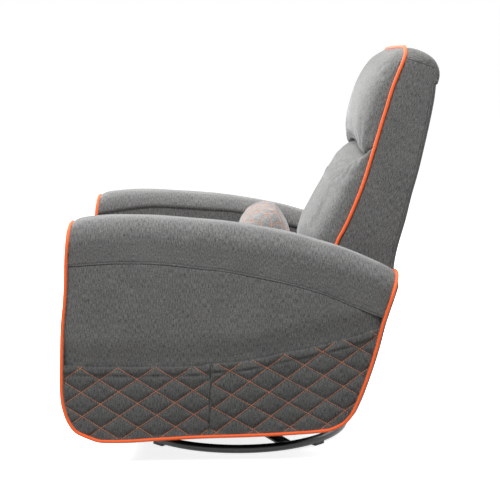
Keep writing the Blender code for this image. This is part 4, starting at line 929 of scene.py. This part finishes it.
def seat_shape(across, along, up):
    """A crowned top and drawn-in sides."""
    drawn = seat_draw * (1 - up ** 2) - seat_swell
    round_x = 1 - seat_corner_share * (np.abs(along) ** 8)
    round_y = 1 - seat_corner_share * (np.abs(across) ** 8)
    edge = seat_edge * (np.abs(up) ** 6)
    x = across * (seat_half - edge * np.abs(across) ** 6 - drawn) * round_x
    y = (seat_front + seat_rear) / 2 + along * ((seat_rear - seat_front) / 2
                                                - edge * np.abs(along) ** 6 - drawn) * round_y
    crown = seat_crown * (1 - across ** 4) * (1 - along ** 6)
    z = seat_low + (seat_high - seat_low) * (up + 1) / 2 + np.where(up > 0, crown * up, 0)
    return np.stack([x, y, z], 1)


seat = grained(filled(cushion_block("seat", (60, 70, 14), seat_shape),
                      held=lambda co: co[:, 2] < seat_low + seat_sewn_below,
                      voxel=0.007, start_in=0.006, most=0.009))
finished(seat, "seat_cushion_cover", heather_sewn, "chassis", ["seat_cushion"])

# Footrest pad. Foam and heather cloth stapled round the plywood board. The cloth swells over the
# foam by simulation.
pad_face, pad_rear = -0.4440, -0.3893
pad_low, pad_high, pad_half = 0.0834, 0.3366, 0.2366
pad_edge, pad_fall = 0.020, 0.011
pad_stapled_behind = 0.010


def footrest_shape(across, along, up):
    """Crowned in front, flat behind, with round edges that wrap the board."""
    front = (1 - along) / 2
    edge = pad_edge * front ** 3
    fall = pad_fall * (1 - (1 - np.abs(across) ** 10) * (1 - np.abs(up) ** 5))
    x = across * (pad_half - edge * np.abs(across) ** 3)
    z = (pad_low + pad_high) / 2 + up * ((pad_high - pad_low) / 2 - edge * np.abs(up) ** 3)
    y = pad_rear - front * (pad_rear - pad_face - fall)
    return np.stack([x, y, z], 1)


pad = grained(filled(cushion_block("pad", (60, 6, 34), footrest_shape),
                     held=lambda co: co[:, 1] > pad_rear - pad_stapled_behind,
                     voxel=0.006, start_in=0.005, most=0.008))
finished(pad, "footrest_pad_cover", heather_sewn, "footrest_panel",
         ["footrest_pad"])

# Back cover. Two side panels, a rear panel and a cap that is drawn over the top and hemmed
# behind, all in heather cloth over foam on the steel posts.
back_half = 0.235
back_front = [
    (0.1785, 0.3850), (0.1865, 0.4250), (0.2000, 0.4800), (0.2190, 0.5424), (0.2345, 0.5733),
    (0.2490, 0.6041), (0.2615, 0.6347), (0.2737, 0.6655), (0.2845, 0.6959), (0.2940, 0.7264),
    (0.3027, 0.7567), (0.3115, 0.7870), (0.3200, 0.8170), (0.3285, 0.8472), (0.3375, 0.8772),
    (0.3460, 0.9070), (0.3552, 0.9369), (0.3665, 0.9666), (0.3785, 0.9962), (0.3842, 1.0111),
    (0.3868, 1.0230), (0.3874, 1.0320)]
cap_profile = [
    (0.3800, 1.0300), (0.3955, 1.0318), (0.4130, 1.0296), (0.4325, 1.0215), (0.4480, 1.0120),
    (0.4605, 1.0000), (0.4700, 0.9820), (0.4726, 0.9620), (0.4680, 0.9390)]
rear_low = [
    (0.4660, 0.9620), (0.4645, 0.9420), (0.4605, 0.9020), (0.4498, 0.8410), (0.4375, 0.7810),
    (0.4240, 0.7200), (0.4080, 0.6590), (0.3940, 0.5970), (0.3770, 0.5350), (0.3685, 0.4930),
    (0.3655, 0.4600), (0.3605, 0.3850), (0.3365, 0.3020), (0.3115, 0.2320), (0.2885, 0.1950)]
foot_line = [(0.1000, 0.5206), (0.1785, 0.3850), (0.2885, 0.1950), (0.4000, 0.0024)]
cap_seam = [
    (0.3400, 1.0205), (0.3855, 1.0060), (0.4285, 0.9920), (0.4560, 0.9820), (0.5200, 0.9590)]
cap_radius_front, cap_radius_rear = 0.050, 0.013
cap_overlap = 0.0015
cap_deepest, cap_step = 0.045, 0.0005
corner_start, corner_most = 0.983, 0.0499
lean_cos, lean_sin = 0.96, 0.28


def lengths(line):
    """How far along a line each of its points is, as shares, and the length of the line."""
    steps = np.hypot(*np.diff(line, axis=0).T)
    total = np.concatenate([[0], np.cumsum(steps)])
    return total / total[-1], total[-1]


def wrapped(profile, radius_front, radius_rear, level, seam=None):
    """A strip that follows a profile of the side view and turns down at both its sides.

    Over the first share of its length, level, it turns down straight instead of square to it.
    Its sides end just under the seam line, or where they have turned through a right angle.
    """
    dense = smoothed(profile)
    share, length = lengths(dense)

    def place_at(along):
        """The y and z of the profile at a share of its length."""
        return [np.interp(along, share, dense[:, axis]) for axis in (0, 1)]

    def shape(u, v):
        along, across = eased(v, ends=0.6), 2 * eased(u, ends=0.75) - 1
        y, z = place_at(along)
        ahead, behind = place_at(np.clip(along + 0.004, 0, 1)), place_at(
            np.clip(along - 0.004, 0, 1))
        run_y, run_z = ahead[0] - behind[0], ahead[1] - behind[1]
        size = np.hypot(run_y, run_z)
        out_y, out_z = -run_z / size, run_y / size
        flatten = np.clip(1 - along / level, 0, 1)
        out_y, out_z = out_y * (1 - flatten), out_z * (1 - flatten) + flatten
        size = np.hypot(out_y, out_z)
        out_y, out_z = out_y / size, out_z / size
        radius = radius_front + (radius_rear - radius_front) * smooth_step(along * 1.6)
        deep = radius
        if seam is not None:
            tries = np.linspace(0, cap_deepest, round(cap_deepest / cap_step) + 1)[:, None]
            above = z - out_z * tries > height_at(seam, y - out_y * tries)
            deep = np.maximum(above.sum(0) * cap_step + cap_overlap, radius_rear)
        turn = np.arccos(np.clip(1 - deep / radius, 0, 1))
        flat = back_half - radius
        girth = flat + radius * turn + np.maximum(deep - radius, 0)
        place = np.abs(across) * girth
        angle = np.clip((place - flat) / radius, 0, turn)
        x = np.sign(across) * (np.minimum(place, flat) + radius * np.sin(angle))
        drop = radius * (1 - np.cos(angle)) + np.maximum(place - flat - radius * turn, 0)
        drop = drop + tucked(np.minimum(along, 1 - along) * length, radius=0.0055)
        x = x - np.sign(across) * tucked(girth - place, radius=0.004)
        return (np.stack([x, y - out_y * drop, z - out_z * drop], 1),
                np.stack([across * girth, along * length], 1))
    return shape


cap = laid_cloth("cap", 170, 80, wrapped(cap_profile, cap_radius_front, cap_radius_rear, 0.33,
                                         cap_seam), thickness=0.004, facing=(0, 1, 1))
finished(cap, "back_cap", heather_sewn, "back", ["back_cover"])
rear_sheet = laid_cloth("rear_sheet", 120, 120, wrapped(
    rear_low, cap_radius_rear, cap_radius_rear, 0.001), thickness=0.004, facing=(0, 1, 0))
finished(rear_sheet, "back_rear_cover", heather_sewn, "back", ["back_cover"])

side_rear = [(y - cap_radius_rear + 0.0005, z + 0.004) for y, z in rear_low[:0:-1]]
side_rear += [(0.4570, 0.9500), (0.4625, 0.9660), (0.4640, 0.9800), (0.4640, 1.0500)]


def back_side_shape(u, v):
    """A side panel of the back, between its piping and its rear seam."""
    y, z, from_front, _ = between(foot_line, cap_seam, back_front, side_rear, u, v,
                                  starts=(0.3, 0.4), rounds=40, pull=0.4)
    corner = np.clip(z - corner_start, 0, corner_most)
    x = back_half - (cap_radius_front - np.sqrt(cap_radius_front ** 2 - corner ** 2)) * (
        1 - eased(u))
    x = x - tucked(from_front, piping_tuck) - fading(from_front, height=0.002, over=0.020)
    x = x - tucked(height_at(cap_seam, y) - z, radius=0.004)
    x = x - crumple(y, z, size=0.05, height=0.0006)
    return (np.stack([x, y, z], 1),
            np.stack([y * lean_cos - z * lean_sin, z * lean_cos + y * lean_sin], 1))


back_side = laid_cloth("back_side", 60, 190, back_side_shape, thickness=0.004, facing=(1, 0, 0))
both_sides(back_side, "back_side_cover", heather_sewn, ["back_cover"], "back")

# Back piping. The same orange cord up one side of the back, over its top and down the other. It
# is sewn between the cushions' covers and the back cover.
corner_radius = 0.050
cord_foot, cord_front_end, cord_top, cord_rise = 0.400, 1.033, 1.034, 0.0015
half_cord = [(back_half, y, z) for y, z in smoothed(back_front)
             if cord_foot < z < cord_front_end - corner_radius]
for angle in (math.pi / 2 * step / 12 for step in range(13)):
    z = cord_top - corner_radius + corner_radius * math.sin(angle)
    half_cord.append((back_half - corner_radius + corner_radius * math.cos(angle),
                      float(reach_at(back_front, min(z, cord_front_end))), z))
top_y = half_cord[-1][1]
for share in (step / 12 for step in range(1, 12)):
    half_cord.append(((back_half - corner_radius) * (1 - share), top_y,
                      cord_top + cord_rise * math.sin(share * math.pi / 2)))
back_cord = cord_along(half_cord + [(-x, y, z) for x, y, z in reversed(half_cord)], piping_radius)
finished(back_cord, "back_piping_cord", orange, "back", ["back_piping"])

# Back cushions. A head cushion over a lower one, fibre filled, sewn to the piping, with a deep
# crease between them. Their covers swell over the fibre by cloth simulation, as the seat's does.
head_crown = [
    (0.3847, 1.0310), (0.3712, 1.0295), (0.3546, 1.0240), (0.3352, 1.0130), (0.3185, 0.9960),
    (0.3069, 0.9780), (0.2947, 0.9560), (0.2846, 0.9330), (0.2764, 0.9080), (0.2690, 0.8820),
    (0.2649, 0.8560), (0.2645, 0.8310), (0.2667, 0.8110), (0.2722, 0.7970), (0.2781, 0.7890),
    (0.2841, 0.7855)]
lower_crown = [
    (0.2927, 0.7845), (0.2787, 0.7825), (0.2667, 0.7765), (0.2534, 0.7660), (0.2348, 0.7440),
    (0.2242, 0.7230), (0.2078, 0.7010), (0.1992, 0.6790), (0.1778, 0.6410), (0.1587, 0.6050),
    (0.1317, 0.5540), (0.1267, 0.5360), (0.1254, 0.5200), (0.1290, 0.4840), (0.1358, 0.4700),
    (0.1468, 0.4540)]
cushion_half = 0.2312
cushion_edge = 0.0045
cushion_behind = 0.012
front_top, head_high, lower_low = 1.032, 1.0325, 0.4560
crease_high, crease_half, crease_sag, crease_lift = 0.7850, 0.0006, 0.022, 0.021
sewn_within, sewn_beside = 0.009, 0.004


def crease_height(across):
    """The crease between the cushions, which sags towards its ends and turns up at the piping."""
    reach = np.abs(across)
    return (crease_high - crease_sag * smooth_step((reach - 0.30) / 0.60)
            + crease_lift * smooth_step((reach - 0.90) / 0.10))


def gathers(across, up, corner, folds, height, reach):
    """Small folds in the cloth that fan out from a corner where it is gathered."""
    run = np.abs(across) - corner[0]
    rise = (up - corner[1]) * 0.6
    far = np.hypot(run, rise)
    fan = np.cos(np.arctan2(rise, run) * folds)
    return height * fan * np.exp(-far / reach) * smooth_step(far / 0.12)


def back_cushion(crown_line, low_at, high_at, corners):
    """A cushion on the front of the back, crowned ahead of its piping."""
    def shape(across, along, up):
        x = across * cushion_half
        low, high = low_at(across), high_at(across)
        z = (low + high) / 2 + up * (high - low) / 2
        middle = (low_at(0) + high_at(0)) / 2 + up * (high_at(0) - low_at(0)) / 2
        centre = reach_at(back_front, middle) - reach_at(crown_line, middle)
        full = 0.62 * (1 - np.abs(across) ** 9) ** 0.5 + 0.38 * (1 - np.abs(across) ** 2.2)
        depth = cushion_edge + np.maximum(centre - cushion_edge, 0.002) * full
        for corner in corners:
            depth = depth + gathers(across, up, **corner) * full ** 0.5
        depth = depth + crumple(x, z, size=0.045, height=0.0010)
        y = (reach_at(back_front, np.minimum(z, front_top))
             - np.where(along < 0, depth, -cushion_behind))
        return np.stack([x, y, z], 1)
    return shape


def head_top(across):
    """The top of the head cushion, which rounds off under the piping at the corners."""
    over = np.clip(np.abs(across) * cushion_half - (back_half - corner_radius), 0,
                   corner_radius - 0.003)
    return head_high - (corner_radius - np.sqrt(corner_radius ** 2 - over ** 2))


def sewn_in(co):
    """Where a cushion of the back is held: at its piping and on its backing."""
    depth = reach_at(back_front, np.minimum(co[:, 2], front_top)) - co[:, 1]
    return (depth < sewn_within) | (np.abs(co[:, 0]) > cushion_half - sewn_beside)


for name, rows, crown, low_at, high_at, corners in (
        ("lower_back_cushion", 84, lower_crown, lambda across: lower_low + 0 * across,
         lambda across: crease_height(across) - crease_half,
         [{"corner": (0.86, 1.0), "folds": 9, "height": 0.0035, "reach": 0.22},
          {"corner": (1.0, -1.0), "folds": 5, "height": 0.002, "reach": 0.3}]),
        ("head_cushion", 80, head_crown, lambda across: crease_height(across) + crease_half,
         head_top, [{"corner": (0.86, -1.0), "folds": 9, "height": 0.0035, "reach": 0.22},
                    {"corner": (0.97, 0.86), "folds": 9, "height": 0.0030, "reach": 0.20}])):
    cushion = grained(filled(cushion_block(name, (96, 0, rows), back_cushion(
        crown, low_at, high_at, corners)), held=sewn_in, voxel=0.005, start_in=0.003, most=0.0025))
    finished(cushion, name + "_cover", heather_sewn, "back", [name])

# Rear panel. Heather cloth over a fibreboard panel that closes the body behind the mechanism. It
# is stapled between the rear facings of the arms.
panel_line = [
    (0.3115, 0.2050), (0.3025, 0.1800), (0.2885, 0.1450), (0.2715, 0.1150), (0.2515, 0.0920),
    (0.2325, 0.0760)]
rear_panel_half = 0.2420


def rear_panel_shape(u, v):
    """A curved sheet between the rear facings of the arms."""
    dense = smoothed(panel_line)
    share, length = lengths(dense)
    y, z = np.interp(v, share, dense[:, 0]), np.interp(v, share, dense[:, 1])
    x = (2 * u - 1) * rear_panel_half
    return np.stack([x, y, z], 1), np.stack([x, v * length], 1)


rear_cover = laid_cloth("rear_panel", 80, 30, rear_panel_shape, thickness=0.006, facing=(0, 1, 0))
finished(rear_cover, "rear_panel_cover", heather_sewn, "chassis", ["rear_panel"])

# Lumbar pillow. A fibre-filled roll in a lighter grey melange, quilted in diamonds with the same
# orange thread. It lies loose on the seat, against the back.
pillow_line = [
    (-0.0355, 0.5470), (-0.0180, 0.5830), (0.0120, 0.6070), (0.0440, 0.6135), (0.0720, 0.6030),
    (0.0930, 0.5760), (0.1070, 0.5440), (0.1100, 0.5130), (0.0980, 0.4880), (0.0640, 0.4752),
    (0.0170, 0.4742), (-0.0215, 0.4850), (-0.0385, 0.5130)]
pillow_half = 0.179
pillow_middle = (0.035, 0.545)
pillow_diamond = (0.068, 0.056)
pillow_rise, pillow_radius = 0.0035, 0.07
pillow_seam_sharpness, pillow_end_share = 7, 0.02
pillow_ring = smoothed(pillow_line[-2:] + pillow_line + pillow_line[:3])
pillow_ring = pillow_ring[2 * line_steps:-2 * line_steps]
pillow_share, pillow_length = lengths(pillow_ring)


def pillow_point(x, run):
    """A point of the pillow from its place along it and round it."""
    share = np.mod(run / pillow_length, 1)
    y = np.interp(share, pillow_share, pillow_ring[:, 0])
    z = np.interp(share, pillow_share, pillow_ring[:, 1])
    first = np.abs(np.mod(x / pillow_diamond[0] + run / pillow_diamond[1] + 0.5, 1) - 0.5)
    second = np.abs(np.mod(x / pillow_diamond[0] - run / pillow_diamond[1] + 0.5, 1) - 0.5)
    puff = ((1 - np.exp(-first * pillow_seam_sharpness))
            * (1 - np.exp(-second * pillow_seam_sharpness)))
    out = np.clip(1 - np.abs(x / pillow_half) ** 5, 0, 1) ** 0.5
    size = (pillow_end_share + (1 - pillow_end_share) * out
            - (1 - puff) * out * pillow_rise / pillow_radius)
    return np.stack([x, pillow_middle[0] + (y - pillow_middle[0]) * size,
                     pillow_middle[1] + (z - pillow_middle[1]) * size], -1)


def pillow_shape(u, v):
    """The whole roll, with its rows drawn towards both ends."""
    x = np.sin((2 * u - 1) * np.pi / 2) * pillow_half
    return pillow_point(x, v * pillow_length), np.stack([x, v * pillow_length], 1)


light_cloth = heather("light_grey_melange", "#5f5f5e", "#929291")
pillow = laid_cloth("pillow", 112, 150, pillow_shape, thickness=0.003, facing=(0, 0, 1))
finished(pillow, "lumbar_pillow_cover", light_cloth, "pillow", ["lumbar_pillow"])
pillow_runs = []
for falling in (1, -1):
    for number in range(-10, 11):
        run = np.linspace(0, pillow_length, 900)
        x = pillow_diamond[0] * (number - falling * run / pillow_diamond[1])
        points = pillow_point(x, run)
        along = pillow_point(x, run + 0.0005) - points
        across = pillow_point(x + 0.0005, run) - points
        outward = np.cross(along, across)
        outward /= np.maximum(np.linalg.norm(outward, axis=1), 1e-12)[:, None]
        away = points - np.array([0, *pillow_middle])
        outward *= np.sign((outward * away).sum(1))[:, None]
        pillow_runs += kept_runs(points + outward * thread_radius,
                                 np.abs(x) < pillow_half * 0.97, outward)
pillow_thread = sewn("pillow_thread", pillow_runs, thread_stitch, thread_gap, thread_radius)
finished(pillow_thread, "lumbar_pillow_thread", orange_thread, "pillow")

# Dust covers. Black spunbond cloth that closes the hollow arms from below. It is stapled under each
# arm's frame and turned up behind its piping.
# Its floor is let down below the foot of each arm, as a black band under the piping that stands in
# for the shade there: painted shade.
dust_shade_band_drop = ([0, 0.08, 0.25, 0.55, 0.8, 1], [0.0, 0.0035, 0.0075, 0.0070, 0.0040, 0.0])
dust_outer, dust_inner, dust_wall = 0.3745, 0.2560, 0.012
dust_front_top, dust_rear_top = 0.118, 0.112
dust_path = np.vstack([
    [place for place in smoothed(front_edge)[::-1] if place[1] < dust_front_top],
    smoothed(bottom_line)[1:-1],
    [place for place in smoothed(rear_edge) if place[1] < dust_rear_top]])
dust_share, dust_length = lengths(dust_path)


def dust_shape(u, v):
    """A shallow channel that follows the foot of an arm, hanging below it as painted shade."""
    def place_at(share):
        """The points of the foot line at shares of its length."""
        return np.stack([np.interp(share, dust_share, dust_path[:, axis]) for axis in (0, 1)], 1)
    run = place_at(np.clip(v + 0.01, 0, 1)) - place_at(np.clip(v - 0.01, 0, 1))
    run /= np.linalg.norm(run, axis=1)[:, None]
    down = np.stack([run[:, 1], -run[:, 0]], 1)
    girth = 2 * dust_wall + dust_outer - dust_inner
    place = u * girth
    x = np.clip(dust_outer - (place - dust_wall), dust_inner, dust_outer)
    rise = np.maximum(dust_wall - place, 0) + np.maximum(place - (girth - dust_wall), 0)
    foot = place_at(v) + down * (np.interp(v, *dust_shade_band_drop) - rise)[:, None]
    return (np.stack([x, foot[:, 0], foot[:, 1]], 1),
            np.stack([place, v * dust_length], 1))


# Black spunbond polypropylene: a felt of fine fibres, point-bonded in a 2 mm grid.
black_spunbond = patterned(
    "black_spunbond_dust_cloth", {"Roughness": 0.85, "Specular IOR Level": 0.25}, "#0e0e0e",
    "#232323", "TexVoronoi", {"Scale": 1 / 0.002, "Randomness": 0.2}, bump=(0.4, 0.0003))
dust_cover = laid_cloth("dust", 60, 90, dust_shape, thickness=0.0012, facing=(0, 0, -1),
                        edge_share=1.0)
dust_covers = both_sides(dust_cover, "arm_dust_cover_shade_band", black_spunbond)

# Seat fascia. The seat's heather cloth is pulled down over the front of the wooden front rail
# and stapled under it.
fascia_front, fascia_low, fascia_high, fascia_half = -0.3720, 0.3195, 0.3590, 0.2550


def fascia_shape(u, v):
    """A flat front with rounded upper and lower edges."""
    x = (2 * u - 1) * fascia_half
    z = fascia_low + v * (fascia_high - fascia_low)
    edge = tucked(np.minimum(z - fascia_low, fascia_high - z), radius=0.0035)
    y = fascia_front + edge + crumple(x, z, size=0.035, height=0.0005)
    return np.stack([x, y, z], 1), np.stack([x, z], 1)


fascia = laid_cloth("fascia", 120, 24, fascia_shape, thickness=0.0025, facing=(0, -1, 0),
                    edge_share=1.0)
finished(fascia, "seat_fascia_cover", heather_sewn, "chassis")

# Studio. A plain pale floor that keeps the chair's shadow, a large soft lamp above and ahead of
# the chair, three weaker ones, and a white surround.
floor_drop, floor_lift, fill_strength = 0.0005, 0.84, 0.21


def seen_rays(tree):
    """1 for rays from the camera, also by a mirror or through glass, 0 for light that bounces."""
    ray = add_node(tree, "LightPath").outputs
    by_mirror = add_node(tree, "Math", {0: ray["Is Glossy Ray"], 1: ray["Is Transmission Ray"]},
                         operation="MAXIMUM")
    return add_node(tree, "Math", {0: ray["Is Camera Ray"], 1: by_mirror}, operation="MAXIMUM")


deselect()
bpy.ops.mesh.primitive_plane_add(size=40, location=(0, 0, -floor_drop))
floor = bpy.context.object
floor.name = "studio_floor"
floor_finish = bpy.data.materials.new("pale_floor")
floor_finish.use_nodes = True
tree = floor_finish.node_tree
tree.nodes.clear()
matt = add_node(tree, "BsdfDiffuse", {"Color": linear("#8a8a88")})
pale = add_node(tree, "BsdfDiffuse", {"Color": linear("#f4f4f4")})
lift = add_node(tree, "Emission", {"Color": linear("#ffffff"), "Strength": floor_lift})
lifted = add_node(tree, "AddShader", {0: pale, 1: lift})
mixed = add_node(tree, "MixShader", {0: seen_rays(tree), 1: matt, 2: lifted})
add_node(tree, "OutputMaterial", {"Surface": mixed})
floor.data.materials.append(floor_finish)

world = bpy.data.worlds.new("white_surround")
bpy.context.scene.world = world
world.use_nodes = True
tree = world.node_tree
tree.nodes.clear()
fill_light = add_node(tree, "Background", {"Color": linear("#ffffff"), "Strength": fill_strength})
white = add_node(tree, "Background", {"Color": linear("#ffffff"), "Strength": 1.0})
mixed = add_node(tree, "MixShader", {0: seen_rays(tree), 1: fill_light, 2: white})
add_node(tree, "OutputWorld", {"Surface": mixed})

lamp_aim = Vector((0, 0, 0.55))
lamps = {"front_softbox": ((-1.9, -2.5, 2.3), 1.3, 160.0),
         "upper_side_softbox": ((2.1, -0.5, 3.0), 1.3, 90.0),
         "top_softbox": ((-0.4, 0.1, 3.4), 1.3, 80.0),
         "rear_softbox": ((-1.2, 2.8, 2.4), 1.8, 30.0)}
for name, (place, size, power) in lamps.items():
    lamp = bpy.data.lights.new(name, "AREA")
    lamp.shape = "SQUARE"
    lamp.size = size
    lamp.energy = power
    lamp_object = bpy.data.objects.new(name, lamp)
    bpy.context.scene.collection.objects.link(lamp_object)
    lamp_object.location = place
    lamp_object.rotation_mode = "QUATERNION"
    lamp_object.rotation_quaternion = (lamp_aim - Vector(place)).to_track_quat("-Z", "Y")

# Camera, where the photograph was taken: level with the top of the back, square to the left arm
# and turned down a little.
camera_place = (3.346, -0.0335, 0.993)
camera_pitch, camera_turn = 0.1503, 0.0095
camera_sensor_mm, camera_lens_mm = 36, 88.76
camera = bpy.data.cameras.new("studio_camera")
camera.sensor_width = camera_sensor_mm
camera.lens = camera_lens_mm
camera_object = bpy.data.objects.new("studio_camera", camera)
bpy.context.scene.collection.objects.link(camera_object)
camera_object.location = camera_place
aim = Vector((-math.cos(camera_turn) * math.cos(camera_pitch),
              math.sin(camera_turn) * math.cos(camera_pitch), -math.sin(camera_pitch)))
camera_object.rotation_mode = "QUATERNION"
camera_object.rotation_quaternion = aim.to_track_quat("-Z", "Y")
bpy.context.scene.camera = camera_object
bpy.context.scene.view_settings.view_transform = "Standard"
